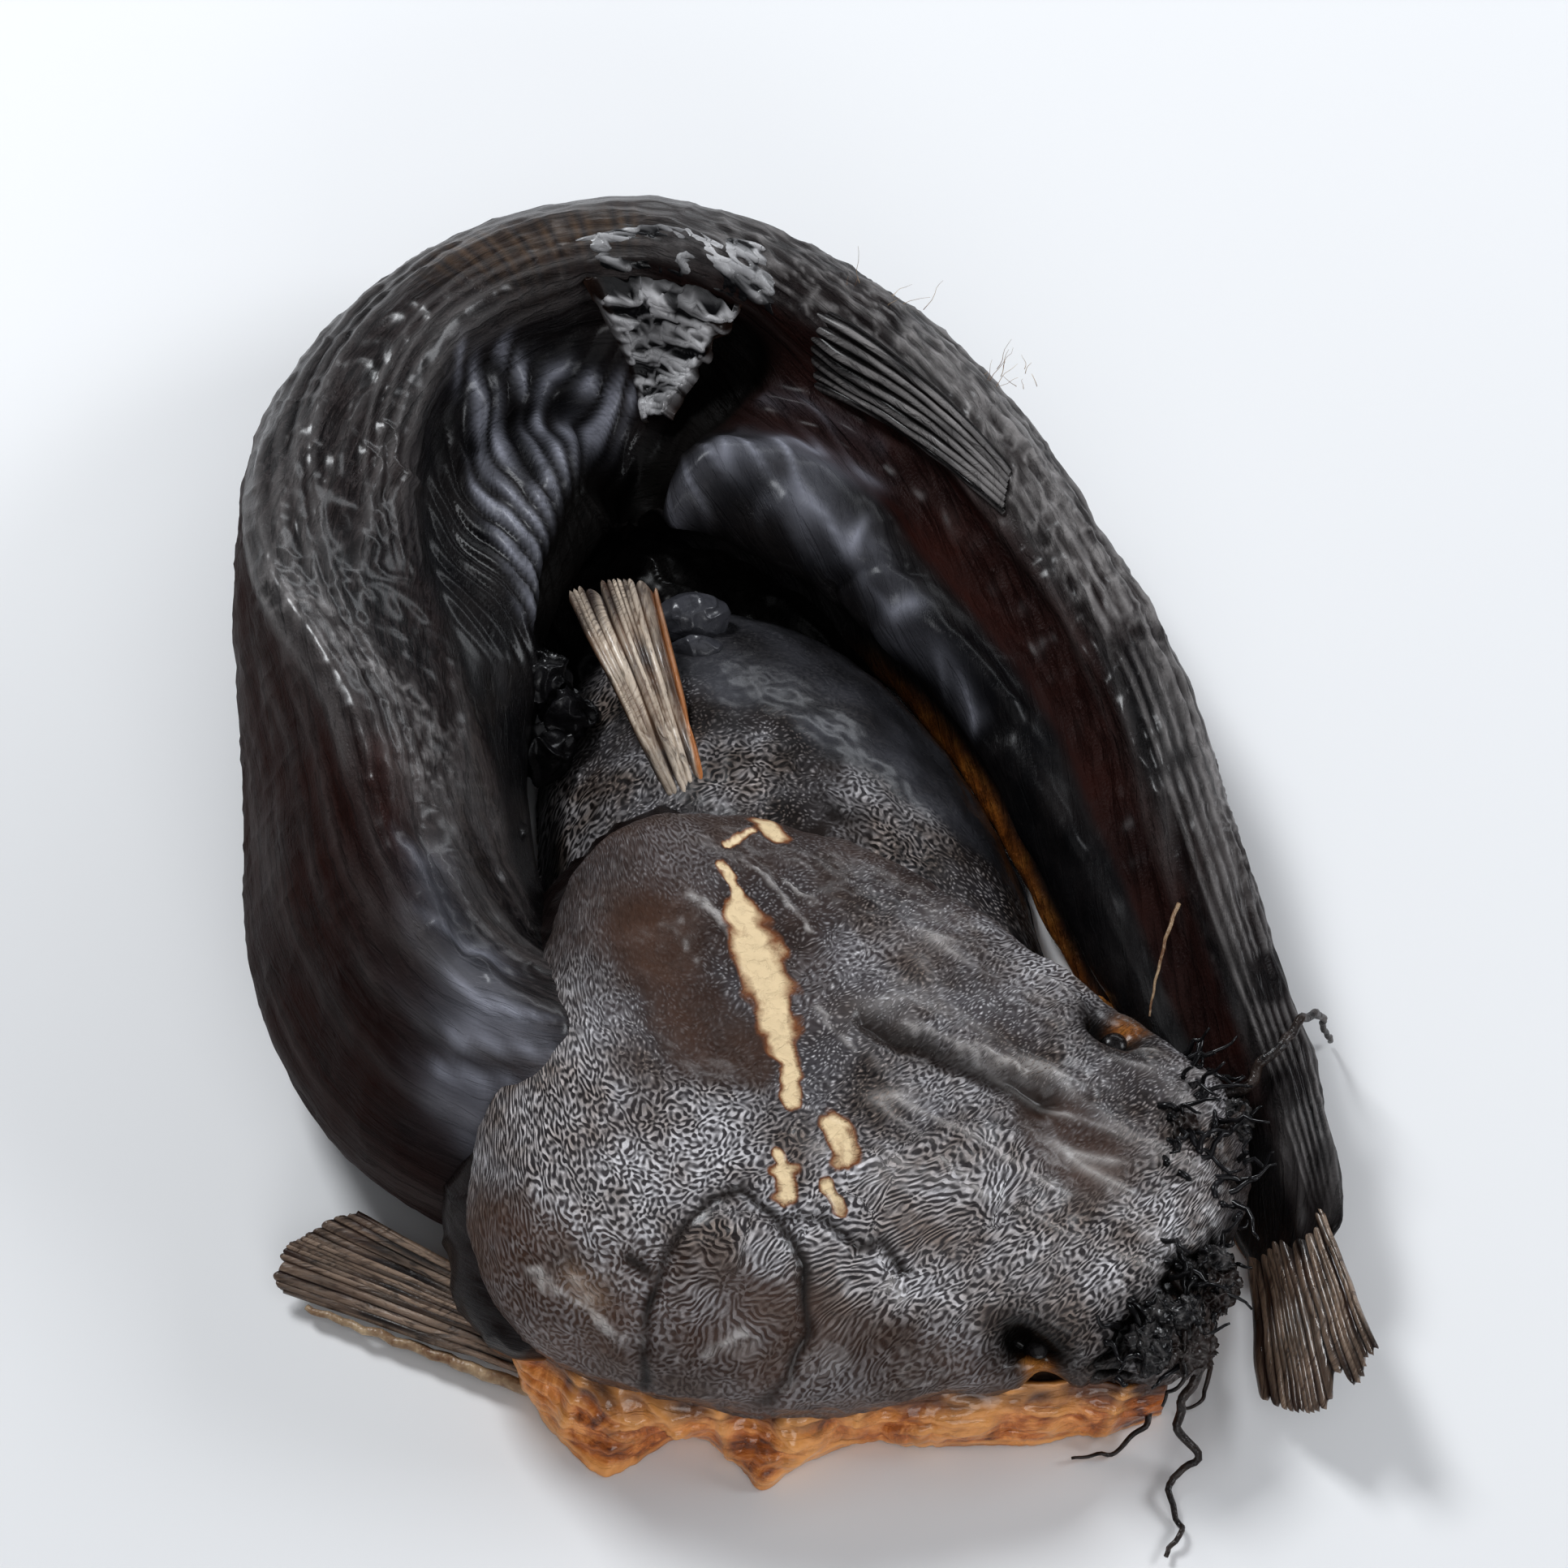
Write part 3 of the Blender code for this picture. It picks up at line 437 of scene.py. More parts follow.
RIDGE_HEIGHT = 0.00028
section_rows = np.interp(np.linspace(0, 1, TRUNK_ROWS + 1), [0, 0.86, 1], [-2.5, 10.5, 13.5])
stands = even_steps(BODY_PATH, TRUNK_COLUMNS + 1)
last_stand = len(BODY_PATH) - 1
centres = smooth(range(len(BODY_PATH)), BODY_PATH, stands)
ahead = smooth(range(len(BODY_PATH)), BODY_PATH, np.minimum(stands + BEND_REACH, last_stand))
astern = smooth(range(len(BODY_PATH)), BODY_PATH, np.maximum(stands - BEND_REACH, 0))
steps = ahead - astern
sideways = np.stack([-steps[:, 1], steps[:, 0]], axis=1)
sideways /= np.linalg.norm(sideways, axis=1, keepdims=True)
outlines = []
for points in BODY_SECTIONS.values():
    wrapped = np.array(points[-3:] + points + points[:3])
    outlines.append(smooth(range(-3, len(points) + 3), wrapped, section_rows % SECTION_SPAN))
sections = smooth(list(BODY_SECTIONS), outlines, stands)
plan = centres[None] + sideways[None] * sections[:, :, 0].T[..., None]
trunk = np.concatenate([plan, sections[:, :, 1].T[..., None]], axis=2)

trunk[..., 2] *= 1 - 0.15 * window(stands, -9, 0.4, 0.8)
trunk_base = trunk
trunk_out = outward(trunk, rolled=True)
if trunk_out[TRUNK_ROWS // 2, :, 2].mean() < 0:
    trunk_out = -trunk_out
along, across = spread(trunk)
stand_grid = np.broadcast_to(stands, along.shape)
row_grid = np.broadcast_to(section_rows[:, None], along.shape)
flank = np.stack([along, across, np.zeros_like(along)], axis=2)

back = window(row_grid, -2.2, 3.2, 0.9)
curtain = window(stand_grid, 5.4, 8.0, 0.7) * window(row_grid, 4.7, 8.3, 0.9)
roll = window(stand_grid, 8.6, 13.2, 0.9) * window(row_grid, 5.8, 8.8, 0.9)
wall = window(row_grid, 3.4, 5.6, 0.7) * window(stand_grid, 8.4, 14.5, 0.8)
neck = window(stand_grid, 1.0, 5.0, 1.0)

banded = np.stack([stand_grid * STATION_LENGTH, row_grid * POINT_SPACING], axis=2)


def near_band(route, width):
    """1 on a route of (station, section point) over the trunk's skin, and fading beside it."""
    return near_route(banded, np.array(route) * (STATION_LENGTH, POINT_SPACING), width)


swell = crumple(flank * [0.45, 0.7, 1], 1.0, 3.0)
streaks = creases(flank * [0.16, 1.6, 1], 1.0, 11.0)
banded = banded + 0.06 * np.stack([crumple(flank, 0.9, 5.0), crumple(flank, 0.9, 6.0)], axis=2)
folds = np.max([near_band(route, width) for _, width, route in CURTAIN_FOLDS], axis=0)
fold_relief = np.max([height * near_band(route, width) for height, width, route in CURTAIN_FOLDS], axis=0)
bends = sum(height * near_band(route, width) for height, width, route in BENDS)
lumps = sum(height * near_band(route, width) for height, width, route in ROLL_LUMPS)
pleat_phase = (banded[..., 0] * 0.66 + banded[..., 1] * 0.75) / 0.40 + 0.55 * crumple(flank, 1.3, 14.0)
pleats = np.abs(np.sin(math.pi * pleat_phase)) ** 0.8
fine_pleats = 0.5 + 0.5 * np.sin(2 * math.pi * (2.3 * pleat_phase + 0.4 * crumple(flank, 0.7, 3.0)))
# Painted sheen: where the curtain's folds, the roll and the arm by the head would catch the light.
lit = np.max([near_band(route, width * 1.35) for _, width, route in CURTAIN_FOLDS], axis=0)
sheen = lit ** 1.5 * pleats ** 2.2 * (0.55 + 0.45 * fine_pleats)
arm_sheen = near_band([(1.90, 0.45), (1.73, 0.31), (1.29, -0.37), (1.06, -0.56), (1.02, -0.95)], 0.42)
arm_sheen = arm_sheen + 0.8 * near_band([(1.60, -0.50), (1.46, -0.66), (1.22, -1.14), (1.09, -1.43)], 0.30)
arm_sheen = arm_sheen + 0.6 * near_band([(2.90, 0.80), (2.63, 0.60), (2.00, 0.12), (1.63, -0.47)], 0.40)
roll_sheen = near_band([(8.96, 7.60), (9.05, 7.10), (9.20, 6.60), (9.45, 6.20), (9.85, 5.85)], 0.45)
roll_sheen = roll_sheen + 0.45 * near_band([(9.04, 4.96), (9.36, 4.77), (9.80, 4.60)], 0.20)
roll_sheen = roll_sheen + 0.85 * near_band([(9.70, 6.90), (10.13, 7.10), (10.49, 7.00), (10.90, 7.20)], 0.30)
roll_sheen = roll_sheen + 0.70 * near_band([(10.97, 7.67), (11.38, 7.48), (11.85, 7.48)], 0.22)
brushed = 0.35 + 0.9 * creases(np.stack([along * 0.5 + across * 0.35, across * 1.5, 0 * along], axis=2), 0.9, 21.0)
roll_sheen = roll_sheen * brushed * (0.85 + 0.8 * crumple(flank * [0.8, 1, 1], 0.9, 18.0))
arm_sheen = arm_sheen * brushed * (0.8 + 0.9 * crumple(flank * [0.5, 1.6, 1], 0.8, 28.0))
# The void under the roll and the gap under the curtain: sunk, and painted near black as shadow.
void = np.clip(near_band(VOID, 0.62) * 1.4 + near_band(VOID_UNDER_CURTAIN, 0.34) * 1.3, 0, 1)
void = np.maximum(void, window(stand_grid, 5.3, 8.3, 0.2) * window(row_grid, 7.5, 10.5, 0.4))
glints = np.maximum(near_band(GLINTS, 0.40), near_band(RIDGE_GLINTS, 0.28))
glint_crests = creases(flank * [1.0, 1.6, 1], 0.34, 2.0, 2.6)
rim_lines = window(stand_grid, 3.7, 7.2, 0.6) * window(row_grid, -0.35, 1.25, 0.25)
rim_lines = rim_lines * np.abs(np.sin(math.pi * row_grid / 0.36 + 0.6 * crumple(flank * [0.4, 1, 1], 1.0, 3.0)))
outer_lines = window(stand_grid, 9.6, 15.5, 0.8) * window(row_grid, -0.9, 2.3, 0.4)
outer_lines = outer_lines * np.abs(np.sin(math.pi * row_grid / 0.42 + 0.8 * crumple(flank * [0.5, 1, 1], 1.0, 4.0)))
arch_lines = window(stand_grid, 5.5, 8.0, 0.5) * window(row_grid, 2.2, 3.7, 0.3)
arch_lines = arch_lines * np.abs(np.sin(math.pi * row_grid / 0.31 + 0.7 * crumple(flank * [0.4, 1, 1], 1.2, 7.0)))
crinkles = creases(flank * [1.3, 1.0, 1], 0.55, 12.0, 3.0)
top_crinkles = creases(flank * [0.6, 1.5, 1], 0.30, 31.0, 3.0) * window(stand_grid, 8.6, 11.5, 0.6)
top_crinkles = top_crinkles * window(row_grid, -0.8, 2.6, 0.5)
oblique = creases(np.stack([along * 0.9 + across * 0.8, across * 0.35, 0 * along], axis=2), 1.0, 8.0)
relief = 0.06 * swell + 0.045 * streaks * back * (0.4 + 0.6 * window(stand_grid, 3, 17, 1)) + bends + lumps
relief = relief + curtain * (0.55 * fold_relief + 0.095 * pleats + 0.025 * fine_pleats) - 0.30 * void
relief = relief + roll * (0.015 * oblique + 0.022 * brushed) + 0.012 * glints * glint_crests + 0.05 * rim_lines + 0.04 * outer_lines
relief = relief + 0.03 * arch_lines + 0.03 * top_crinkles
relief = relief + 0.045 * wall * crumple(flank * [1.8, 0.5, 1], 1.0, 2.0) + 0.03 * back * crinkles
relief = relief + 0.045 * crumple(flank * [1.2, 2.6, 1], 1.0, 17.0) * (1 - 0.5 * neck) * (1 - 0.6 * curtain)
trunk = trunk + trunk_out * relief[..., None]
tail_end = np.clip((stand_grid - 16.2) / 0.8, 0, 0.98)
trunk = trunk.mean(axis=0) + (trunk - trunk.mean(axis=0)) * np.sqrt(1 - tail_end ** 2)[..., None]
trunk[..., 2] = np.maximum(trunk[..., 2], 0.03)
trunk[-1] = trunk[0]

capped = np.concatenate([np.broadcast_to(trunk[:, :1].mean(axis=0), trunk[:, :1].shape), trunk,
                         np.broadcast_to(trunk[:, -1:].mean(axis=0), trunk[:, -1:].shape)], axis=1)


def with_caps(values):
    return np.concatenate([values[:, :1], values, values[:, -1:]], axis=1)


outer_flank = window(row_grid, -2.5, -0.45, 0.35) * window(stand_grid, 1.2, 7.5, 0.8)
belly = window(row_grid, 9.8, 13.5, 0.5) * window(stand_grid, 11.2, 17.0, 0.9)
red_skin = near_band([(3.60, 0.60), (3.05, 0.21), (2.43, -0.47), (1.90, -1.05)], 0.55)
red_skin = red_skin + near_band([(10.6, 5.2), (11.63, 4.86), (12.6, 4.67)], 0.45) + 1.0 * outer_flank + 0.8 * wall
brown_skin = near_band([(7.30, 1.57), (7.49, 2.30), (7.91, 2.15)], 0.50)
satin = np.clip(curtain + roll + near_band([(2.6, 0.6), (1.5, -0.4), (1.1, -1.2)], 0.8), 0, 1)
trunk_masks = {
    "warm": with_caps(np.clip(red_skin + 0.25 * back * (0.5 + swell), 0, 1) * (1 - 0.7 * satin * (1 - wall))),
    "tan": with_caps(0.22 * brown_skin * (0.5 + 0.5 * np.sin(2 * math.pi * stand_grid / 0.07))),
    "gold": with_caps(np.clip(belly * (0.75 + 0.6 * swell), 0, 1)),
    "lines": with_caps(np.clip(back * (0.95 - 0.75 * window(stand_grid, 8.8, 99, 1.0)) - 0.5 * satin, 0, 1)),
    # painted sheen on the curtain's folds, the roll and the arm, kept off the void
    "painted_sheen": with_caps(np.clip(1.35 * sheen * (0.75 + 0.7 * crumple(flank, 0.9, 6.0)) + 0.8 * roll_sheen
                              + 0.9 * arm_sheen, 0, 1) * (1 - void)),
    # painted glints on the crinkles, outer lines and ridge, over a little pale wear on the streaks
    "pale_crest_and_glint": with_caps(np.clip(0.20 * streaks * back + 0.9 * glints * glint_crests ** 2 + 0.28 * rim_lines ** 4
                               + 0.60 * outer_lines ** 4 * window(crumple(flank, 0.8, 8.0), 0.0, 9, 0.4)
                               + 0.30 * arch_lines ** 5 + 0.70 * top_crinkles ** 1.6, 0, 1)),
    "matte": with_caps(np.clip(outer_flank + 0.85 * wall + window(row_grid, -2.5, -0.6, 0.8) + window(row_grid, 12.0, 13.5, 0.8) + void
                               + 0.65 * window(stand_grid, 8.8, 99, 1.0) * window(row_grid, -0.9, 2.6, 0.4), 0, 1)),
    "satin": with_caps(satin),
    # painted shadow in the void, and painted shade on the outer flank that faces away from the light
    "dark_tone_and_shade": with_caps(np.clip(1.3 * void + 0.25 * outer_flank, 0, 1)),
}
trunk_skin = skin_material("trunk_skin", black=(0.0034, 0.0032, 0.0040), ash=(0.0130, 0.0108, 0.0108),
                           warm=(0.030, 0.0068, 0.004), crest=(0.26, 0.245, 0.24), roughness=0.33,
                           stretch=(110.0, 640.0, 1.0), wrinkle_depth=0.00120, coat=0.62)
skin_piece("trunk_and_tail", capped, (with_caps(along), with_caps(across)), trunk_masks, trunk_skin)

# Head: a broad bony shield under thin skin, on a soft throat. The skin has dried into a maze of fine
# ridges, painted silver on their tops as a highlight, with sutures between the bones, two hollows and
# a pale scrape down the middle. It is one closed skin on superellipse rings; its black edge overhangs the golden flesh
# of the jaw.
SNOUT_TIP = np.array([7.15, -6.75])
HEAD_HEADING = math.radians(-15)
HEAD_STATIONS = [
    # behind the snout tip, half width, crown, throat
    (0.00, 0.70, 1.55, 0.95), (0.15, 1.60, 1.80, 0.65), (0.60, 2.40, 2.05, 0.35), (1.40, 3.00, 2.32, 0.08),
    (2.80, 3.55, 2.70, -0.08), (4.40, 4.05, 3.15, -0.08), (6.20, 4.50, 3.60, -0.08), (7.80, 4.70, 3.90, -0.08),
    (9.20, 4.50, 4.10, -0.04), (10.1, 3.95, 4.10, 0.15), (10.7, 2.95, 3.75, 0.60), (11.0, 1.40, 2.90, 1.30),
]
HEAD_SQUARENESS = 2.9
HEAD_AXIS_SHARE = 0.45
HEAD_COLUMNS = 296
HEAD_ROWS = 330
HEAD_FORWARD = np.array([math.cos(HEAD_HEADING), math.sin(HEAD_HEADING)])
HEAD_LEFT = np.array([-HEAD_FORWARD[1], HEAD_FORWARD[0]])
EYE_SPOT = (2.4, 2.72)
NEAR_TUCK = [
    # behind the snout tip, share by which the near cheek draws in above the black edge
    (0.0, 0.05), (0.7, 0.10), (1.9, 0.21), (2.9, 0.20), (4.0, 0.16), (4.7, 0.11), (5.5, 0.07), (11.0, 0.07),
]
EDGE_HEIGHTS = [
    # behind the snout tip, and how high the black skin's lower edge is there
    (0.2, 0.9, 2.2, 4.0, 5.6, 8.3, 9.4, 11.0), (1.05, 1.00, 1.05, 1.05, 1.10, 1.10, 1.30, 1.60),
]
TUCK_START = 2.2
TUCK_DEPTH = 1.3
SUTURES = [
    # routes of (behind, out to the left), in centimetres
    [(7.57, -4.72), (7.73, -4.04), (7.63, -3.12), (7.29, -2.29), (6.87, -1.99), (6.30, -2.24), (5.80, -2.79),
     (5.54, -3.62), (5.66, -4.10), (6.10, -4.60)],
    [(7.85, -3.50), (8.10, -3.42)],
    [(6.30, -2.24), (5.75, -2.05), (5.30, -2.15)],
    [(5.20, -2.20), (4.78, -2.05), (4.43, -2.30)],
]
SCRAPE = [
    # half width, and a stretch of the scrape from end to end
    (0.08, [(8.50, 2.95), (8.05, 2.35)]), (0.22, [(8.05, 2.30), (7.72, 1.85)]),
    (0.30, [(7.75, 1.90), (7.35, 1.25)]), (0.25, [(7.40, 1.30), (7.05, 0.65)]),
    (0.17, [(7.10, 0.70), (6.82, 0.25)]), (0.13, [(6.80, 0.20), (6.58, -0.38)]),
    (0.17, [(8.25, 4.25), (8.02, 3.95)]), (0.07, [(8.35, 3.85), (8.60, 3.45)]),
    (0.17, [(5.90, -0.60), (5.66, -1.10)]), (0.09, [(5.80, -1.55), (5.55, -1.85)]),
    (0.15, [(6.38, -1.55), (6.28, -1.85)]), (0.08, [(6.52, -1.30), (6.45, -1.42)]),
]
GROOVE = [(5.85, 1.15), (4.60, 0.98), (3.15, 0.92)]
LIGHT_LINES = [
    # half width, and a light crest's route
    (0.08, [(5.30, 1.36), (5.00, 1.28)]), (0.06, [(4.95, 1.30), (4.20, 1.18)]), (0.05, [(4.30, 1.30), (3.50, 1.22)]),
    (0.06, [(2.60, 2.55), (2.20, 2.48), (1.75, 2.45)]), (0.05, [(8.84, 2.36), (8.40, 2.12), (8.05, 1.80)]),
    (0.04, [(8.20, 3.18), (7.55, 2.75), (7.05, 2.38)]), (0.04, [(7.62, 3.08), (7.12, 2.80)]),
    (0.05, [(6.60, 1.12), (6.25, 0.80), (5.95, 0.62)]), (0.05, [(1.95, -0.15), (1.55, -0.25), (1.15, -0.45)]),
    (0.04, [(9.47, -3.85), (8.70, -4.10), (7.93, -4.36)]), (0.09, [(8.80, -3.85), (8.60, -3.98)]),
    (0.11, [(4.56, -2.58), (4.40, -2.68)]), (0.05, [(6.78, -4.17), (6.38, -3.83)]),
    (0.05, [(5.20, 0.10), (4.00, -0.10), (2.75, -0.38)]), (0.04, [(4.40, -0.55), (3.60, -0.95)]),
]
FANS = [
    # middle, from and to what distance the ridges are combed about it, and the way it opens
    ((6.67, -3.30), 0.32, 0.80, None), ((4.49, -2.66), 0.28, 1.30, (1.0, -0.35)),
    ((3.45, -1.40), 0.30, 1.50, (0.8, 0.6)), ((4.90, -1.05), 0.10, 0.55, (0.6, -0.8)),
]


def on_head(behind, out, height):
    """Places on the head, in centimetres behind the snout tip, out to the left, and up."""
    plan = SNOUT_TIP + HEAD_LEFT * np.asarray(out)[..., None] - HEAD_FORWARD * np.asarray(behind)[..., None]
    return np.concatenate([plan, np.broadcast_to(np.asarray(height)[..., None], plan[..., :1].shape)], axis=-1)


def labyrinth(cells, period, seed, bias=0.0):
    """A maze of even ridges from 0 to 1 on a square of cells: noise that keeps only one wavelength."""
    field = np.random.default_rng(seed).standard_normal((cells, cells))
    waves = np.hypot(*np.meshgrid(np.fft.fftfreq(cells), np.fft.fftfreq(cells)))
    band = np.exp(-(((waves * period - 1) / 0.28) ** 2))
    for _ in range(10):
        field = np.real(np.fft.ifft2(np.fft.fft2(field) * band))
        field = np.tanh(2.5 * field / field.std() + bias)
    return 0.5 + 0.5 * field


def sampled(field, first, second, pitch):
    """The values of a field at places measured in cells of this pitch, blended between its cells."""
    first, second = first / pitch, second / pitch
    row, column = np.floor(first).astype(int), np.floor(second).astype(int)
    down, right = first - row, second - column
    size = len(field)
    top = (1 - right) * field[row % size, column % size] + right * field[row % size, (column + 1) % size]
    row = row + 1
    low = (1 - right) * field[row % size, column % size] + right * field[row % size, (column + 1) % size]
    return (1 - down) * top + down * low


head_table = np.array(HEAD_STATIONS)
head_stands = even_steps(head_table, HEAD_COLUMNS + 1)
behind, half_width, crown, throat = smooth(range(len(head_table)), head_table, head_stands).T
axis = throat + HEAD_AXIS_SHARE * (crown - throat)
turns = np.linspace(-math.pi, math.pi, 1441)
ups, sides = np.cos(turns), np.sin(turns)
ups = np.sign(ups) * np.abs(ups) ** (2 / HEAD_SQUARENESS)
sides = np.sign(sides) * np.abs(sides) ** (2 / HEAD_SQUARENESS)
wanted = np.interp(np.linspace(0, 1, HEAD_ROWS + 1), [0, 0.07, 0.93, 1], [0, 0.19, 0.81, 1])
outs, heights = np.zeros((HEAD_ROWS + 1, len(behind))), np.zeros((HEAD_ROWS + 1, len(behind)))
for column in range(len(behind)):
    ring_out = sides * half_width[column]
    ring_up = axis[column] + ups * np.where(ups > 0, crown[column] - axis[column], axis[column] - throat[column])
    walked = np.concatenate([[0], np.cumsum(np.hypot(np.diff(ring_out), np.diff(ring_up)))])
    outs[:, column] = np.interp(wanted * walked[-1], walked, ring_out)
    heights[:, column] = np.interp(wanted * walked[-1], walked, ring_up)
behinds = np.broadcast_to(behind, outs.shape)
tuck = np.interp(behinds, *np.array(NEAR_TUCK).T) * np.clip((TUCK_START - heights) / TUCK_DEPTH, 0, 1)
outs = np.where(outs < 0, outs * (1 - tuck), outs)
head = on_head(behinds, outs, heights)
head_out = outward(head, rolled=True)
if head_out[HEAD_ROWS // 2, :, 2].mean() < 0:
    head_out = -head_out
head_along, head_across = spread(head)
on_plan = np.stack([behinds, outs], axis=2)
in_space = np.concatenate([on_plan, heights[..., None]], axis=2)
on_plan_3d = np.concatenate([on_plan, 0 * heights[..., None]], axis=2)

top_side = window(head_out[..., 2], 0.25, 2.0, 0.5)
wandering = on_plan + 0.07 * np.stack([crumple(in_space, 0.45, 4.0), crumple(in_space, 0.45, 9.0)], axis=2)
suture = np.max([near_route(wandering, route, 0.085) for route in SUTURES], axis=0) * top_side
suture = suture * (0.75 + 0.5 * crumple(in_space, 0.7, 12.0))
ragged = wandering + 0.07 * np.stack([crumple(in_space, 0.14, 2.0), crumple(in_space, 0.14, 3.0)], axis=2)
scrape = np.max([near_route(ragged, route, width * 1.25) for width, route in SCRAPE], axis=0)
scrape = np.clip(scrape * 1.5 - 0.25 + 0.35 * crumple(in_space, 0.25, 1.0), 0, 1) * top_side
groove = near_route(wandering, GROOVE, 0.20) * top_side
light_lines = np.max([near_route(ragged, route, width * 0.95) for width, route in LIGHT_LINES], axis=0) * top_side
light_lines = np.clip(light_lines * (0.85 + 1.1 * crumple(in_space, 0.16, 8.0)), 0, 1)
pulled = np.stack([behinds * 0.28, outs * 1.25 - behinds * 0.12, 0 * behinds], axis=2)
long_wrinkles = creases(pulled, 0.75, 51.0, 3.0) * window(behinds, 0.9, 6.0, 0.8) * window(outs, -1.3, 3.3, 0.5)
long_wrinkles = long_wrinkles * top_side * np.clip(0.75 + 0.9 * crumple(in_space, 0.8, 4.0), 0, 1)
hollows = near_route(on_plan, [(9.2, 1.55), (9.0, 1.2)], 0.55) + near_route(on_plan, [(8.3, 0.3), (8.0, 0.0)], 0.50)
hollows = hollows + 0.6 * near_route(on_plan, [(7.5, 0.1), (7.3, -0.1)], 0.40)
hollows = (hollows + 0.6 * near_route(on_plan, [(2.9, 0.6), (2.4, 0.3)], 0.6)) * top_side
plate = near_route(on_plan, [(6.75, -3.0), (6.6, -3.8)], 0.85) * top_side

combed = np.zeros_like(behinds)
comb = np.zeros_like(behinds)
for middle, near_end, far_end, opening in FANS:
    from_middle = on_plan - middle
    distance = np.linalg.norm(from_middle, axis=2)
    share = window(distance, near_end, far_end, 0.18) * (0.75 + 0.6 * crumple(in_space, 0.5, 15.0))
    if opening:
        facing = (from_middle @ opening) / (np.maximum(distance, 1e-6) * np.hypot(*opening))
        share = share * window(facing, 0.45, 2, 0.3)
    share = np.clip(share, 0, 1) * top_side
    comb = np.where(share > combed, np.arctan2(from_middle[..., 0], -from_middle[..., 1]), comb)
    combed = np.maximum(combed, share)
# How much the ridge tops are painted silver, as a highlight: more where the light falls, less in the bare places.
silver_and_sheen = 0.52 + 0.75 * near_route(on_plan, [(9.8, -1.0), (9.3, -2.6), (8.3, -2.4), (7.4, -1.3)], 1.4)
silver_and_sheen = silver_and_sheen + 0.45 * near_route(on_plan, [(5.4, -2.2), (3.9, -2.4), (3.6, -1.2), (5.0, -0.4)], 0.8)
silver_and_sheen = silver_and_sheen - 0.55 * near_route(on_plan, [(10.6, 1.5), (9.6, 3.3), (8.6, 4.0)], 0.9)
silver_and_sheen = silver_and_sheen - 0.12 * near_route(on_plan, [(7.0, 4.0), (4.5, 3.6), (2.5, 3.2)], 0.8)
silver_and_sheen = silver_and_sheen + 0.50 * window(behinds, 0.8, 6.2, 0.9) * window(outs, -1.8, 3.4, 0.8)
silver_and_sheen = silver_and_sheen - 0.30 * near_route(on_plan, [(9.6, -4.0), (8.3, -4.3)], 0.7) + 0.30 * combed
silver_and_sheen = silver_and_sheen - 0.45 * window(-outs, 3.3, 99, 0.7) * window(behinds, 1.5, 99, 0.8)
silver_and_sheen = np.clip(silver_and_sheen + 0.35 * crumple(in_space, 1.1, 31.0) + 0.3 * crumple(in_space, 0.4, 3.0), 0.30, 1.15)
beaded = 0.35 + 0.9 * crumple(in_space, 1.5, 14.0) + 0.4 * window(outs, 0.4, 9, 1.0) - 0.45 * window(outs, -9, -1.2, 1)
beaded = np.clip(beaded, 0, 1) * (1 - combed)
bare = np.clip(suture + scrape + 0.75 * groove + 0.8 * window(hollows, 0.35, 9, 0.3), 0, 1)
# Painted light: the silver is stronger on the top and weaker on the sides.
silver_and_sheen = silver_and_sheen * (1 - bare) * (0.35 + 0.65 * top_side)

edge_height = np.interp(behinds, *EDGE_HEIGHTS)
edge_height = edge_height + 0.16 * crumple(in_space * [1, 0, 0], 0.6, 3.0) + 0.08 * crumple(in_space, 0.25, 5.0)
below_edge = window(edge_height - heights, 0.0, 99, 0.10)
folded_plan = np.stack([behinds, np.abs(outs)], axis=2) + 0.6 * (wandering - on_plan)
eyes = near_route(folded_plan, [(EYE_SPOT[0] + 0.15, EYE_SPOT[1] - 0.05), (EYE_SPOT[0] - 0.12, EYE_SPOT[1])], 0.30)
eyes = eyes * window(heights, 1.3, 9, 0.3)
sockets = near_route(folded_plan, [(EYE_SPOT[0] + 0.20, EYE_SPOT[1] - 0.08), (EYE_SPOT[0] - 0.15, EYE_SPOT[1])], 0.42)
sockets = sockets * window(heights, 1.3, 9, 0.3)
eye_flesh = near_route(folded_plan, [(EYE_SPOT[0] - 0.10, EYE_SPOT[1] + 0.30), (EYE_SPOT[0] - 0.3, EYE_SPOT[1] + 0.28)], 0.15)
eye_flesh = 0.9 * eye_flesh * window(heights, 1.2, 9, 0.2)
slit = near_route(on_plan, [(5.2, -2.17), (4.5, -2.32)], 0.10)
burnt = near_route(on_plan, [(0.0, -0.3), (0.7, -1.2), (1.25, -2.2), (1.2, -2.6)], 0.42)
burnt = burnt * (0.7 + 0.9 * creases(in_space, 0.5, 41.0))
lips = near_route(np.stack([np.zeros_like(heights), heights], axis=2), [(0, 0.84), (0, 0.86)], 0.13)
lips = lips * window(behinds, -9, 1.7, 0.5)

relief = 0.14 * crumple(in_space, 2.6, 1.0) + 0.09 * crumple(in_space, 0.9, 7.0)
relief = relief + 0.022 * crumple(in_space, 0.32, 2.0) + 0.016 * crumple(in_space, 0.15, 6.0)
relief = relief - 0.06 * suture + 0.09 * plate - 0.16 * hollows - 0.16 * groove
relief = relief + 0.08 * near_route(on_plan, [(5.60, 1.62), (4.60, 1.42), (3.20, 1.30)], 0.20)
relief = relief + 0.055 * long_wrinkles - 0.025 * scrape + 0.035 * light_lines + 0.03 * combed * crumple(on_plan_3d, 0.3, 3.0)
relief = relief + 0.035 * creases(in_space, 0.55, 3.0, 5.0) * (1 - top_side)
relief = relief + 0.07 * (sockets - eyes) - 0.50 * eyes - 0.10 * slit - 0.30 * lips - 0.22 * np.minimum(burnt, 1.2)
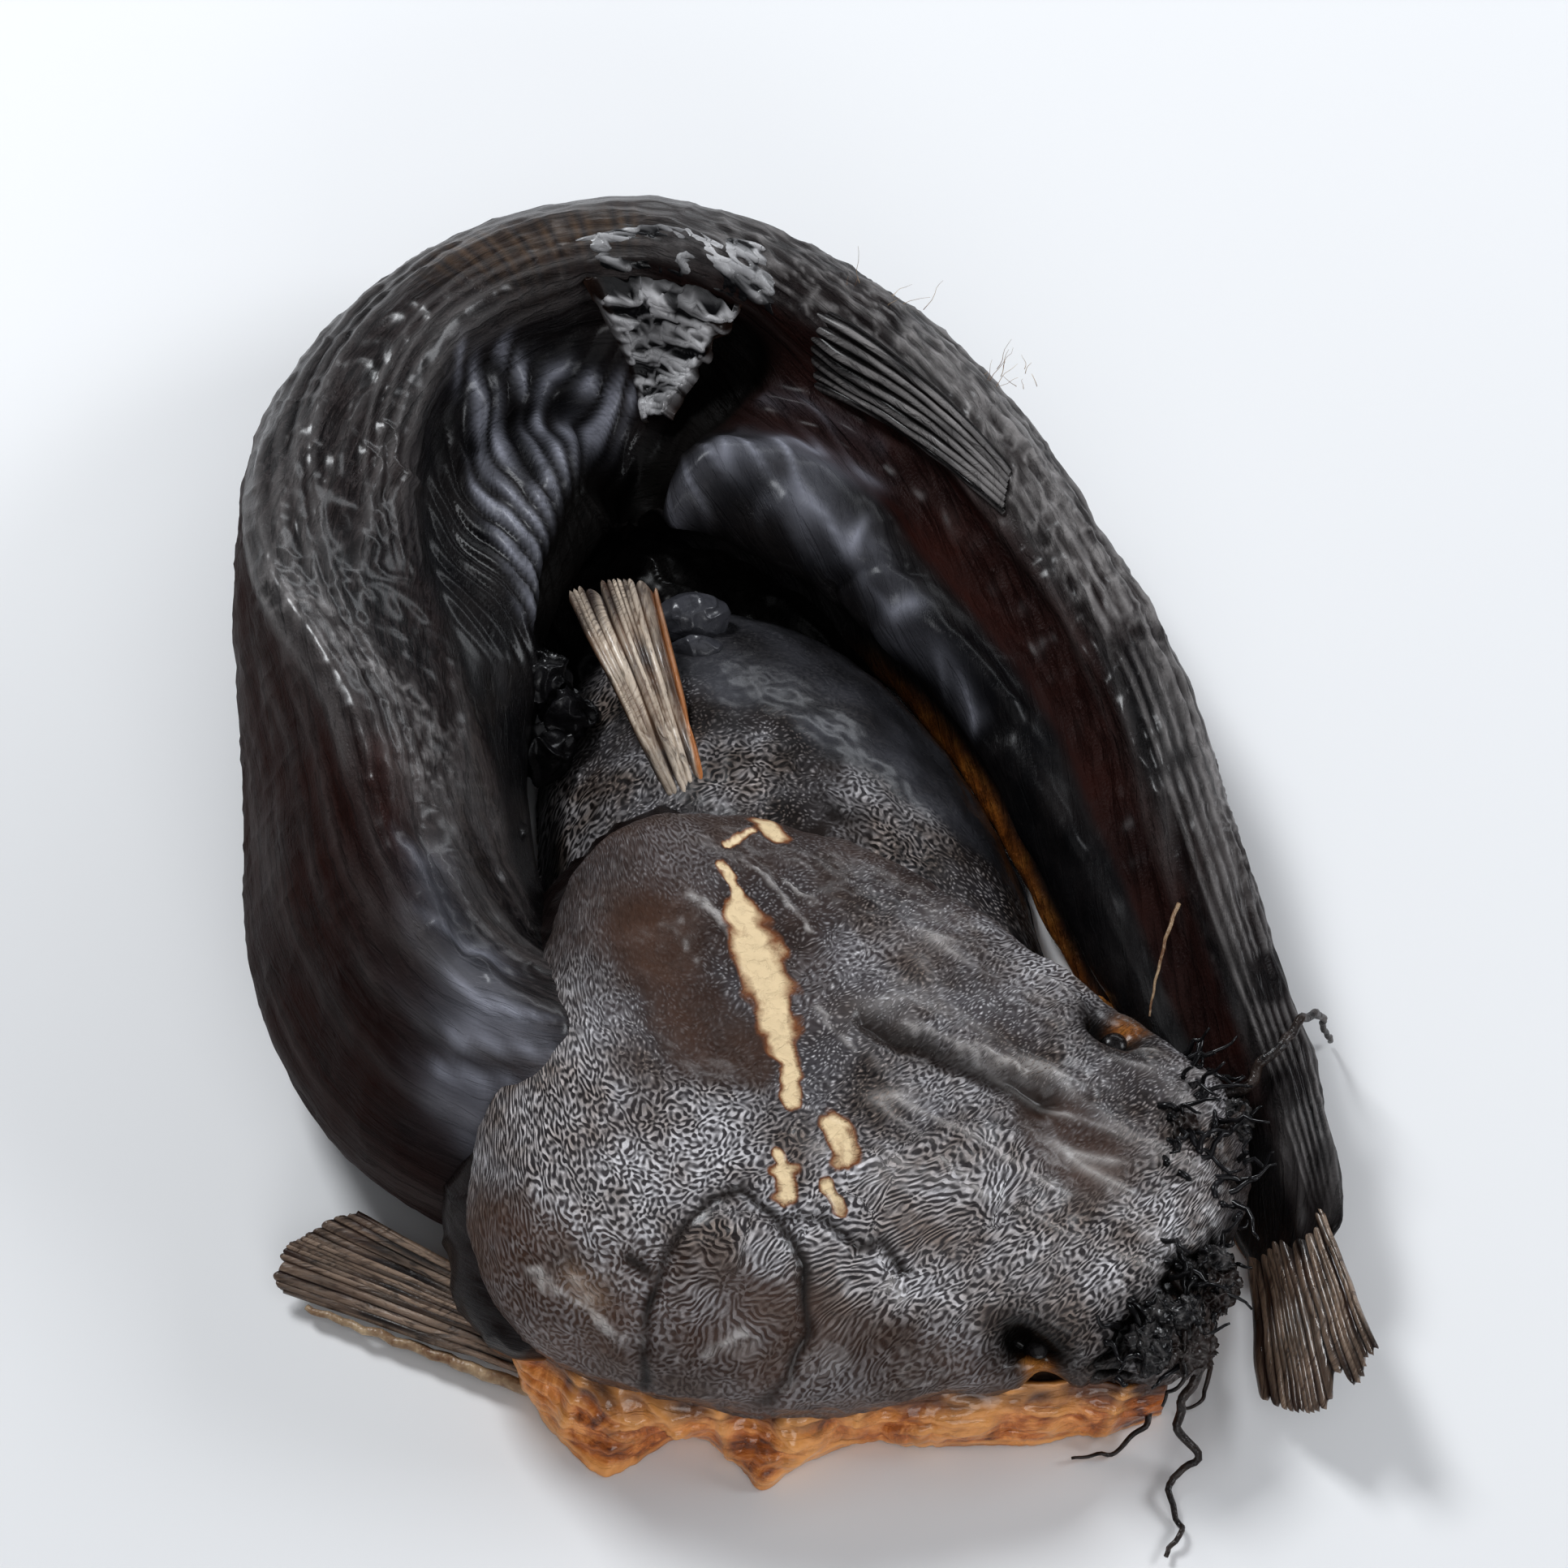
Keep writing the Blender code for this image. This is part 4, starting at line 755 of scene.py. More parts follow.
relief = relief - below_edge * (0.13 + 0.03 * crumple(in_space, 0.35, 6.0))
head = head + head_out * relief[..., None]
head[..., 2] = np.maximum(head[..., 2], 0)


def both_capped(values):
    """The grid with one more column at each end, drawn together at the middle of the end's ring."""
    first = np.broadcast_to(values[:, :1].mean(axis=0), values[:, :1].shape)
    last = np.broadcast_to(values[:, -1:].mean(axis=0), values[:, -1:].shape)
    return np.concatenate([first, values, last], axis=1)


triangle = window(on_plan @ (0.42, 0.91), -9, 0.25, 0.12) * window(behinds, 7.85, 9.9, 0.15) * top_side
brown = 0.75 * hollows + 0.45 * (1.1 - silver_and_sheen) + 0.12 * window(outs, 1.6, 99, 1.2)
brown = brown + 0.5 * window(-outs, 3.3, 99, 0.7) + 0.9 * triangle * window(outs, -9, -3.4, 0.3)
head_masks = {
    "pale_crest_and_glint": with_caps(np.clip(0.9 * light_lines + 0.8 * long_wrinkles ** 3, 0, 1)),
    "maze": with_caps(np.clip(silver_and_sheen * (1 - below_edge), 0, 1)),
    "combed": with_caps(combed),
    "beaded": with_caps(beaded),
    "comb": with_caps(comb),
    "warm": with_caps(np.clip(brown, 0, 1)),
    "tan": with_caps(np.clip(0.35 * near_route(ragged, [(8.80, -3.85), (8.55, -4.0)], 0.22) + eye_flesh, 0, 1)),
    "gold": with_caps(np.clip(below_edge * 1.1 + eye_flesh, 0, 1)),
    "scar": with_caps(scrape),
    "matte": with_caps(0.9 * window(behinds, 9.7, 99, 0.7) + 0 * outs),
    # dark sutures and char are the skin's own; the dark in the eye sockets, the groove and the mouth slit is painted
    # shade
    "dark_tone_and_shade": with_caps(np.clip(0.9 * suture + 0.7 * groove + lips + 1.3 * sockets + 1.2 * burnt, 0, 1)),
}
head_skin = skin_material("head_skin", black=(0.017, 0.0135, 0.0135), ash=(0.048, 0.040, 0.040),
                          warm=(0.082, 0.042, 0.027), crest=(0.50, 0.47, 0.45), roughness=0.38,
                          stretch=(700.0, 700.0, 1.0), wrinkle_depth=0.00025, coat=0.42, ridge_scale=1230.0)
skin_piece("head", both_capped(head), (with_caps(head_along), with_caps(head_across)), head_masks, head_skin)

# Gill cover: the left one, spread wide by the drying, a domed plate inside the ring. Its top is bare
# with a painted bluish sheen, and towards the head it is beaded like the head's skin. A lobe of gill sticks out.
GILL_MIDDLE = np.array([0.70, -0.80, -0.15])
GILL_REACH = np.array([6.30, 3.70, 3.00])
GILL_TURN = math.radians(110)
GILL_COLUMNS = 400
GILL_ROWS = 200


def dome(middle, reach, turn, columns, rows, lowest=-0.35):
    """A grid on a turned ellipsoid, from its top down to below its widest part, and drawn shut."""
    way_round = np.linspace(0, 2 * math.pi, columns + 1)[None]
    way_down = np.linspace(0, 1, rows + 1)[:, None]
    from_top = way_down * (math.pi / 2 - lowest)
    places = np.stack([np.sin(from_top) * np.cos(way_round), np.sin(from_top) * np.sin(way_round),
                       np.cos(from_top) + 0 * way_round], axis=2)
    places[-1] = (0, 0, places[-1, 0, 2])
    places = places * reach
    turned = np.array([[math.cos(turn), math.sin(turn), 0], [-math.sin(turn), math.cos(turn), 0], [0, 0, 1]])
    return places @ turned + middle


def flattened(places, ground):
    """Presses what lies below this height into a shallow bottom just under it."""
    height = places[..., 2]
    places[..., 2] = np.where(height < ground, ground + 0.06 * (height - ground), height)
    return places


gill = dome(GILL_MIDDLE, GILL_REACH, GILL_TURN, GILL_COLUMNS, GILL_ROWS)
gill_out = outward(gill, rolled=False)
if gill_out[GILL_ROWS // 2, :, 2].mean() < 0:
    gill_out = -gill_out
gill_out[0] = gill_out[0].mean(axis=0)
gill_out[:, 0] = gill_out[:, -1] = gill_out[:, 1]
bare_top = window(gill[..., 1] + 0.62 * (gill[..., 0] + 1) + 0.5 * crumple(gill, 0.9, 4.0), 2.9, 99, 0.8)
speckle = np.clip(0.62 + 0.8 * crumple(gill, 1.1, 5.0) + 0.4 * crumple(gill, 0.35, 2.0), 0, 1) * (1 - 0.93 * bare_top)
gill_below = window(-gill_out[..., 2], 0.15, 9, 0.2)
speckle = speckle * (1 - gill_below)
gill_relief = 0.08 * crumple(gill, 1.6, 2.0) + 0.04 * crumple(gill, 0.5, 3.0) + 0.015 * crumple(gill, 0.18, 1.0)
gill = gill + gill_out * gill_relief[..., None]
gill = flattened(gill, 0.30)
gill_masks = {
    "maze": speckle,
    "beaded": np.clip(0.55 + 1.2 * crumple(gill, 1.3, 9.0), 0, 1),
    "matte": 0.85 * (1 - bare_top),
    "gold": gill_below,
    # painted bluish sheen on the bare top
    "painted_sheen": 0.16 * bare_top * (0.6 + 0.8 * crumple(gill, 0.8, 1.0)),
    "warm": 0.5 * (1 - bare_top) * (0.5 + 0.9 * crumple(gill, 0.9, 6.0)),
}
gill_skin = skin_material("gill_skin", black=(0.0055, 0.0050, 0.0052), ash=(0.017, 0.016, 0.017),
                          warm=(0.030, 0.015, 0.009), crest=(0.30, 0.29, 0.28), roughness=0.34,
                          stretch=(500.0, 500.0, 1.0), wrinkle_depth=0.00025, coat=0.6, ridge_scale=1100.0)
skin_piece("gill_cover", gill, (gill[..., 0], gill[..., 1] - 0.6 * gill[..., 2]), gill_masks, gill_skin)

# Hollow lining: the inner wall of the body cavity, slumped under the fold at the ring's top, a sheet painted near black
# as the shade under the fold.
lining = dome(np.array([-0.80, 5.20, 0.10]), np.array([3.40, 2.50, 0.95]), math.radians(-12), 240, 90, -0.6)
lining_out = (lining - [-0.80, 5.20, 0.10]) / [3.40, 2.50, 0.95]
lining = lining + lining_out * (0.12 * creases(lining, 0.8, 2.0) + 0.10 * crumple(lining, 0.5, 4.0))[..., None]
lining = flattened(lining, 0.34)
skin_piece("shaded_hollow_lining", lining, spread(lining), {"dark_tone_and_shade": 0.75, "matte": 0.8}, trunk_skin)

# Shoulders: the muscle and skin that join the head's back corners to the trunk.
shoulders = dome(np.array([-2.10, -4.05, 1.60]), np.array([2.05, 4.60, 2.20]), HEAD_HEADING, 260, 160, -1.2)
shoulder_out = outward(shoulders, rolled=False)
if shoulder_out[60, :, 2].mean() < 0:
    shoulder_out = -shoulder_out
shoulder_out[0] = shoulder_out[0].mean(axis=0)
shoulder_out[:, 0] = shoulder_out[:, -1] = shoulder_out[:, 1]
shoulder_along, shoulder_across = spread(shoulders)
shoulder_relief = 0.10 * crumple(shoulders * [1, 1, 0.4], 0.9, 2.0) + 0.06 * creases(shoulders * [1, 1, 0.3], 0.7, 9.0)
shoulders = shoulders + shoulder_out * shoulder_relief[..., None]
shoulders = flattened(shoulders, 0.15)
skin_piece("shoulders", shoulders, (shoulder_along, shoulder_across), {"warm": 0.5, "dark_tone_and_shade": 0.5, "matte": 0.6,
           "gold": window(-shoulder_out[..., 2], 0.4, 9, 0.3)}, trunk_skin)

# Throat: where the black skin has shrunk back, golden smoked flesh shows under its edge on both
# sides, torn into lobes that reach the ground. Each side is one wavy sheet with some thickness.
FLESH_COLUMNS = 320
FLESH_ROWS = 60
FLESH_RIMS = {
    # name: side of the head, and where the sheet meets the ground (behind the snout tip, out)
    "near_throat_flesh": (-1, [
        (0.55, 2.20), (1.10, 2.55), (1.75, 2.86), (2.50, 3.22), (3.60, 3.50), (4.40, 3.62), (4.80, 3.78),
        (5.35, 4.18), (5.60, 4.48), (5.83, 4.78), (6.10, 4.62), (6.50, 4.40), (6.95, 4.22), (7.25, 4.38),
        (7.70, 4.82), (8.10, 5.20), (8.50, 5.06), (9.10, 4.66), (9.60, 4.05), (10.0, 3.45)]),
    "far_throat_flesh": (1, [
        (0.55, 2.20), (1.20, 2.72), (2.20, 3.30), (3.40, 3.72), (4.30, 4.05), (5.20, 4.20), (6.10, 4.52),
        (7.00, 4.60), (8.00, 4.72), (9.10, 4.45), (10.0, 3.55)]),
}
flesh_material = bpy.data.materials.new("smoked_flesh")
flesh_material.use_nodes = True
flesh = flesh_material.node_tree
flesh_place = add_node(flesh, "TexCoord").outputs["Object"]
flesh_cloud = add_node(flesh, "TexNoise", {"Vector": flesh_place, "Scale": 120.0, "Detail": 6.0, "Roughness": 0.65,
                       "Distortion": 1.4})
flesh_ramp = add_node(flesh, "ValToRGB", {"Fac": flesh_cloud.outputs["Fac"]})
flesh_ramp.color_ramp.elements[0].position = 0.34
flesh_ramp.color_ramp.elements[0].color = (0.16, 0.036, 0.006, 1)
flesh_ramp.color_ramp.elements[1].position = 0.60
flesh_ramp.color_ramp.elements[1].color = (1.0, 0.43, 0.13, 1)
flesh_ramp.color_ramp.elements.new(0.47).color = (0.56, 0.165, 0.026, 1)
flesh_layout = add_node(flesh, "UVMap", uv_map="skin").outputs["UV"]
flesh_fibres = add_node(flesh, "Group", node_tree=fine_grain)
flesh.links.new(flesh_layout, flesh_fibres.inputs["Place"])
flesh_fibres.inputs["Stretch"].default_value = (170.0, 800.0, 1.0)
# Painted shade and painted highlight: dark brown where the flesh lies in shade, bright orange on its crests.
flesh_colour = blended(flesh, mask_value(flesh, "dark_tone_and_shade"), flesh_ramp.outputs["Color"], (0.040, 0.014, 0.006, 1))
flesh_colour = blended(flesh, mask_value(flesh, "pale_crest_and_glint"), flesh_colour, (0.88, 0.41, 0.125, 1))
flesh_shader = flesh.nodes["Principled BSDF"]
flesh.links.new(flesh_colour, flesh_shader.inputs["Base Color"])
flesh_shader.inputs["Roughness"].default_value = 0.30
flesh_shader.inputs["Coat Weight"].default_value = 0.5
flesh_shader.inputs["Coat Roughness"].default_value = 0.12
flesh_bump = add_node(flesh, "Bump", {"Height": flesh_fibres.outputs["Height"], "Distance": 0.0004})
flesh.links.new(flesh_bump.outputs["Normal"], flesh_shader.inputs["Normal"])


def thicken(piece, thickness):
    """Gives a sheet its thickness, half to each side."""
    wall = piece.modifiers.new("thickness", "SOLIDIFY")
    wall.thickness = thickness
    wall.offset = 0.0


flesh_down = np.linspace(0, 1, FLESH_ROWS + 1)[:, None]
for name, (side, rim) in FLESH_RIMS.items():
    rim = np.array(rim)
    rim_behind, rim_out = smooth(range(len(rim)), rim, np.linspace(0, len(rim) - 1, FLESH_COLUMNS + 1)).T[:, None]
    top_out = np.interp(rim_behind, behind, half_width) * 0.955
    if side < 0:
        top_out = top_out * (1 - np.interp(rim_behind, *np.array(NEAR_TUCK).T) * 0.85)
    top_up = np.interp(rim_behind, *EDGE_HEIGHTS)
    field = np.stack([rim_behind + 0 * flesh_down, flesh_down + 0 * rim_behind,
                      np.full((FLESH_ROWS + 1, FLESH_COLUMNS + 1), 3.0 * side)], axis=2)
    flare = flesh_down ** 1.35
    sheet_out = top_out * (1 - flare) + rim_out * flare + 0.13 * np.sin(math.pi * flesh_down)
    sheet_up = (top_up + 0.22) * (1 - flesh_down) + 0.04
    ragged_rim = 0.08 * crumple(field * [1, 0, 1], 0.45, 4.0) + 0.04 * crumple(field * [1, 0, 1], 0.12, 4.0)
    sheet_out = sheet_out + ragged_rim * flesh_down
    facets = creases(field * [1, 0.55, 1], 0.95, 7.0, 2.4) + 0.5 * creases(field * [0.5, 2.2, 1], 0.42, 2.0, 2.6)
    bulge = 0.17 * facets + 0.14 * crumple(field * [1, 0.9, 1], 0.55, 1.0) + 0.03 * crumple(field, 0.15, 1.0)
    sheet_out = sheet_out + bulge * np.sin(math.pi * (0.12 + 0.83 * flesh_down))
    sheet = on_head(rim_behind + 0 * flesh_down, side * sheet_out, sheet_up)
    sheet[..., 2] = np.maximum(sheet[..., 2], 0.035)
    flesh_masks = {
        # painted shade: the band under the black skin's edge, and the creases
        "dark_tone_and_shade": np.clip(0.8 * window(flesh_down, -1, 0.12, 0.22) + 0.14 * creases(field * [0.7, 1.6, 1], 0.9, 1.0, 2.4)
                        * window(flesh_down, -1, 0.80, 0.2), 0, 1),
        # painted highlight on the facets' crests and the lobes' tips
        "pale_crest_and_glint": np.clip(facets * 1.2 - 0.72 + window(flesh_down, 0.90, 2, 0.06) * 0.7, 0, 1),
    }
    piece = skin_piece(name, sheet, spread(sheet), flesh_masks, flesh_material, closed=False)
    thicken(piece, 0.0010)

# Breast fins, tail fin and the fold of the back fin: bony rays under a dry dark web. A fin is one
# sheet on a fan of places, ribbed along its rays, notched between their tips, with some thickness.
FIN_ROWS_PER_RAY = 12
FIN_COLUMNS = 110
BREAST_FIN_ROOTS = [(-2.1, -8.7, 0.45), (-2.7, -7.7, 0.90)]


def fin_material(name, web, ray, crest, coat):
    """Dry fin: a dark web, browner rays, and lighter crests along them."""
    material = bpy.data.materials.new(name)
    material.use_nodes = True
    tree = material.node_tree
    shader = tree.nodes["Principled BSDF"]
    layout = add_node(tree, "UVMap", uv_map="skin").outputs["UV"]
    grain = add_node(tree, "Group", node_tree=fine_grain)
    tree.links.new(layout, grain.inputs["Place"])
    grain.inputs["Stretch"].default_value = (220.0, 1500.0, 1.0)
    clouds = add_node(tree, "TexNoise", {"Vector": add_node(tree, "TexCoord").outputs["Object"], "Scale": 130.0,
                      "Detail": 3.0})
    cloudy = ranged(tree, clouds.outputs["Fac"], 0.38, 0.62)
    colour = blended(tree, cloudy, (*web, 1), (*ray, 1))
    worn = computed(tree, "MULTIPLY", mask_value(tree, "pale_crest_and_glint"), ranged(tree, grain.outputs["Crests"], 0.0, 0.8,
                    0.25, 1.0))
    colour = blended(tree, worn, colour, (*crest, 1))
    colour = blended(tree, mask_value(tree, "gold"), colour, (0.42, 0.15, 0.035, 1))
    tree.links.new(colour, shader.inputs["Base Color"])
    shader.inputs["Roughness"].default_value = 0.38
    shader.inputs["Coat Weight"].default_value = coat
    bump = add_node(tree, "Bump", {"Height": grain.outputs["Height"], "Distance": 0.0003})
    tree.links.new(bump.outputs["Normal"], shader.inputs["Normal"])
    return material


def fin(name, roots, tips, bow, rays, curl, depth, material, gold=0.0, seed=0.0, torn=0.20):
    """A fin from its root line to its bowed tip line; curl lifts its tips, depth is its rays' relief."""
    roots, tips = np.array(roots, float), np.array(tips, float)
    along = np.linspace(0, 1, FIN_COLUMNS + 1)[None, :, None]
    side = np.linspace(0, 1, rays * FIN_ROWS_PER_RAY + 1)[:, None, None]
    root = roots[0] + (roots[1] - roots[0]) * side
    reach = (tips.mean(axis=0) - roots.mean(axis=0))
    reach /= np.linalg.norm(reach)
    tip = tips[0] + (tips[1] - tips[0]) * side + reach * bow * 4 * side * (1 - side)
    ray_turn = math.pi * (rays * side[..., 0] + 0.35 * np.sin(2 * math.pi * 1.7 * side[..., 0] + seed))
    field = np.stack([along[..., 0] * 3 + 0 * ray_turn, side[..., 0] * rays + 0 * along[..., 0],
                      np.full((side.shape[0], along.shape[1]), seed)], axis=2)
    split = window(along[..., 0], 0.55, 2, 0.3)
    rib = (1 - split) * np.abs(np.sin(ray_turn)) ** 0.8 + split * np.abs(np.sin(2 * ray_turn)) ** 0.8
    uneven = crumple(field * [0, 1, 1], 1.7, 3.0)
    notch = 0.25 * torn * (1 - np.abs(np.sin(2 * ray_turn))) + torn * np.maximum(uneven, 0)
    share = along * (1 - notch[..., None] * along ** 4)
    places = root + (tip - root) * share
    face = np.cross(tips[0] - roots[0], tips[1] - tips[0])
    face *= (1 if face[2] >= 0 else -1) / np.linalg.norm(face)
    wave = 0.10 * crumple(field * [1, 0.35, 1], 1.0, 5.0) + curl * along[..., 0] ** 2
    wave = wave + depth * (rib - 0.5) * (1 - 0.4 * along[..., 0]) + 0.02 * crumple(field * [3, 1, 1], 1.0, 8.0)
    places = places + face * wave[..., None]
    places[..., 2] = np.maximum(places[..., 2], 0.06)
    crest = window(rib, 0.82, 2, 0.16) * (0.55 + 1.3 * crumple(field * [0.8, 2, 1], 1.0, 2.0))
    masks = {"pale_crest_and_glint": np.clip(crest, 0, 1), "gold": gold * window(1 - side[..., 0], 0.95, 2, 0.06) * (1 - 0.6 * along[..., 0] ** 2) + 0 * rib}
    piece = skin_piece(name, places, spread(places), masks, material, closed=False)
    thicken(piece, 0.0007)
    return piece


dark_fin = fin_material("dark_fin", (0.009, 0.005, 0.004), (0.040, 0.018, 0.011), (0.34, 0.245, 0.18), 0.30)
pale_fin = fin_material("pale_fin", (0.030, 0.014, 0.008), (0.15, 0.085, 0.050), (0.60, 0.50, 0.40), 0.25)
fin("near_breast_fin", BREAST_FIN_ROOTS, [(-6.95, -6.85, 0.22), (-5.80, -5.90, 0.95)], 0.35, 8, 0.10, 0.09,
    dark_fin, seed=1.0, torn=0.07)
fin("far_breast_fin", [(-0.55, 0.05, 2.45), (-1.20, 0.35, 2.45)], [(-1.45, 4.0, 2.75), (-2.85, 3.9, 2.75)], 0.2,
    6, 0.05, 0.14, pale_fin, gold=1.0, seed=2.0)
fin("tail_fin", [(7.45, -5.5, 0.25), (8.30, -5.6, 1.35)], [(7.55, -8.6, 0.25), (9.05, -8.5, 1.85)], 0.60, 9,
    0.05, 0.09, dark_fin, seed=3.0)

# Back fin: its soft rays are folded flat over the outer ridge past the top of the ring, a fan of
# hard parallel ribs that runs out to a point along the ridge.
def on_trunk(stand, row, lift):
    """Places on the trunk's skin, at these stands along it and rows round it, lifted off it."""
    column = np.interp(stand, stands, np.arange(len(stands)))
    row = np.interp(row, section_rows, np.arange(len(section_rows)))
    low_row, low_column = np.floor(row).astype(int), np.floor(column).astype(int)
    low_row, low_column = np.minimum(low_row, TRUNK_ROWS - 1), np.minimum(low_column, TRUNK_COLUMNS - 1)
    down, right = (row - low_row)[..., None], (column - low_column)[..., None]
    found = []
    for grid in (trunk_base, trunk_out):
        top = (1 - right) * grid[low_row, low_column] + right * grid[low_row, low_column + 1]
        low = (1 - right) * grid[low_row + 1, low_column] + right * grid[low_row + 1, low_column + 1]
        found.append((1 - down) * top + down * low)
    return found[0] + found[1] * np.asarray(lift)[..., None]


FOLDED_RIBS = 8
ribs_along = np.linspace(0, 1, 241)[None]
ribs_across = np.linspace(0, 1, FOLDED_RIBS * 14 + 1)[:, None]
rib_field = np.stack([ribs_along * 5 + 0 * ribs_across, ribs_across * FOLDED_RIBS + 0 * ribs_along,
                      0 * (ribs_across + ribs_along)], axis=2)
rib_wave = np.abs(np.sin(math.pi * FOLDED_RIBS * ribs_across + 0.5 * crumple(rib_field, 1.6, 3.0))) ** 0.7
rib_fade = window(ribs_along, 0.30, 0.93, 0.28) * window(ribs_across, 0.12, 0.90, 0.12)
rib_lift = rib_fade * (0.21 + 0.12 * rib_wave) - 0.16 + 0.03 * crumple(rib_field * [2, 1, 1], 1.0, 6.0)
rib_stand = 8.85 + 1.75 * ribs_along + 0.20 * ribs_across
rib_row = (2.30 - 0.2 * ribs_along) + (2.3 - 1.3 * ribs_along) * ribs_across
folded = on_trunk(rib_stand, rib_row, rib_lift)
# Painted highlight on the rib tops, and painted shade in the grooves between them.
folded_masks = {"pale_crest_and_glint": np.clip(window(rib_wave, 0.94, 2, 0.06) * (0.8 + crumple(rib_field * [1, 2, 1], 1.0, 9.0)), 0, 1)
                * rib_fade, "warm": 0.3 * (1 - rib_wave), "dark_tone_and_shade": (1 - rib_wave ** 3) * rib_fade, "matte": 0.55}
piece = skin_piece("folded_back_fin", folded, spread(folded), folded_masks, trunk_skin, closed=False)
thicken(piece, 0.0008)

# Skin flap and patch: at the top of the ring the skin has shrivelled into a crinkled patch on the
# ridge, and a loose three-cornered rag of it hangs from the ridge over the hollow.
# Its near-white crest colour stands for painted glints on the crinkles.
crinkled_skin = skin_material("crinkled_skin", black=(0.004, 0.0038, 0.0045), ash=(0.012, 0.0115, 0.013),
                              warm=(0.10, 0.045, 0.025), crest=(0.78, 0.77, 0.78), roughness=0.30,
                              stretch=(700.0, 700.0, 1.0), wrinkle_depth=0.0003, coat=0.6)
CRINKLED = {
    # name: corners as (station, section point) - upper left, upper right, lower left, lower right,
    # how far its middle stands off the skin, and how much of its lower side is drawn to a point
    "crinkled_patch": ([(7.72, 2.50), (8.80, 1.75), (7.82, 3.25), (8.90, 3.25)], 0.03, 0.0),
    "crinkled_flap": ([(7.76, 3.30), (8.70, 3.40), (8.08, 5.85), (8.30, 5.85)], 0.22, 0.7),
}
for name, (patch_corners, stand_off, point) in CRINKLED.items():
    patch_corners = np.array(patch_corners)
    patch_down = np.linspace(0, 1, 161)[:, None, None]
    patch_side = np.linspace(0, 1, 221)[None, :, None]
    upper = patch_corners[0] + (patch_corners[1] - patch_corners[0]) * patch_side
    lower = patch_corners[2] + (patch_corners[3] - patch_corners[2]) * patch_side
    spots = upper + (lower - upper) * patch_down
    flat = np.stack([spots[..., 0] * STATION_LENGTH, spots[..., 1] * POINT_SPACING, 0 * spots[..., 0]], axis=2)
    tear = 0.12 * crumple(flat, 0.45, 4.0) + 0.08 * crumple(flat, 0.16, 4.0)
    spots = spots + tear[..., None] * [0.5, 1.0]
    edge = np.minimum(patch_side, 1 - patch_side)[..., 0] * 1.6 + tear
    sunk = window(edge, 0.16, 9, 0.16) * window(patch_down[..., 0] + 0.5 * tear, 0.10, 2, 0.12)
    if not point:
        sunk = sunk * window(1 - patch_down[..., 0] + 0.5 * tear, 0.12, 2, 0.14)
    big = creases(flat * [0.42, 1.5, 1.0], 0.44, 3.0, 2.4)
    small = creases(flat * [0.7, 1.5, 1.0], 0.20, 5.0, 2.6)
    lift = sunk * (stand_off + 0.07 * big + 0.025 * small + 0.08 * crumple(flat, 0.8, 1.0)) - 0.06
    rag = on_trunk(spots[..., 0], spots[..., 1], lift)
    # Painted glints on the crinkles' crests.
    rag_masks = {
        "pale_crest_and_glint": np.clip(1.9 * big + 0.9 * small - 0.95, 0, 1) * sunk * (0.45 + 0.4 * point + 0.6 * crumple(flat, 0.5, 9.0)),
        "warm": 0.7 * (1 - window(edge, 0.22, 9, 0.2)) * point,
    }
    piece = skin_piece(name, rag, spread(rag), rag_masks, crinkled_skin, closed=False)
    thicken(piece, 0.0008)

# Gill lobe and charred lumps: a smooth black lobe of gill with a painted bluish sheen, over the gill
# cover's top edge, and blistered knots of burnt skin on the inner side of the trunk beside the far breast fin.
LUMPS = [
    # name, middle, reach, turn in degrees, roughness of its surface
    ("gill_lobe", (-0.92, 4.10, 1.75), (0.62, 0.42, 0.50), 10, 0.03),
    ("gill_lobe_lower", (-0.80, 3.45, 1.70), (0.50, 0.26, 0.45), -8, 0.03),
    ("charred_lump_1", (-3.25, 2.75, 2.05), (0.42, 0.34, 0.40), 20, 0.14),
    ("charred_lump_2", (-2.85, 2.25, 1.85), (0.40, 0.30, 0.42), -30, 0.14),
    ("charred_lump_3", (-3.15, 1.70, 1.60), (0.42, 0.34, 0.40), 60, 0.14),
]
char_skin = skin_material("char_skin", black=(0.006, 0.0055, 0.006), ash=(0.016, 0.015, 0.017),
                          warm=(0.03, 0.015, 0.01), crest=(0.30, 0.28, 0.27), roughness=0.24,
                          stretch=(900.0, 900.0, 1.0), wrinkle_depth=0.0004, coat=0.5)
for name, middle, reach, turn, rough in LUMPS:
    knot = dome(np.array(middle), np.array(reach), math.radians(turn), 96, 60, -1.3)
    knot_out = knot - np.array(middle)
    knot_out /= np.linalg.norm(knot_out, axis=2, keepdims=True)
    knot = knot + knot_out * (rough * (creases(knot, 0.30, 4.0) + crumple(knot, 0.35, 2.0)))[..., None]
    # The gill lobes get a painted bluish sheen.
    knot_masks = {"painted_sheen": 0.18 if rough < 0.1 else 0.0}
    skin_piece(name, knot, spread(knot), knot_masks, gill_skin if rough < 0.1 else char_skin)

# Eyes: shrunken black beads at the bottom of their sockets.
for side, name in ((-1, "near_eyeball"), (1, "far_eyeball")):
    middle = on_head(np.array(2.42), np.array(side * (2.60 if side > 0 else 2.42)), np.array(1.72))
    ball = dome(middle, np.array([0.24, 0.24, 0.20]), 0.0, 48, 32, -1.5)
    skin_piece(name, ball, spread(ball), {"warm": 0.2}, char_skin, stands_for_cad=False)

# Barbels and shreds: four pairs of whiskers round the mouth have dried to kinked black threads, and
# the lips' corners are torn into charred shreds. Each is a ring of points extruded along its route.
STRAND_SIDES = 8


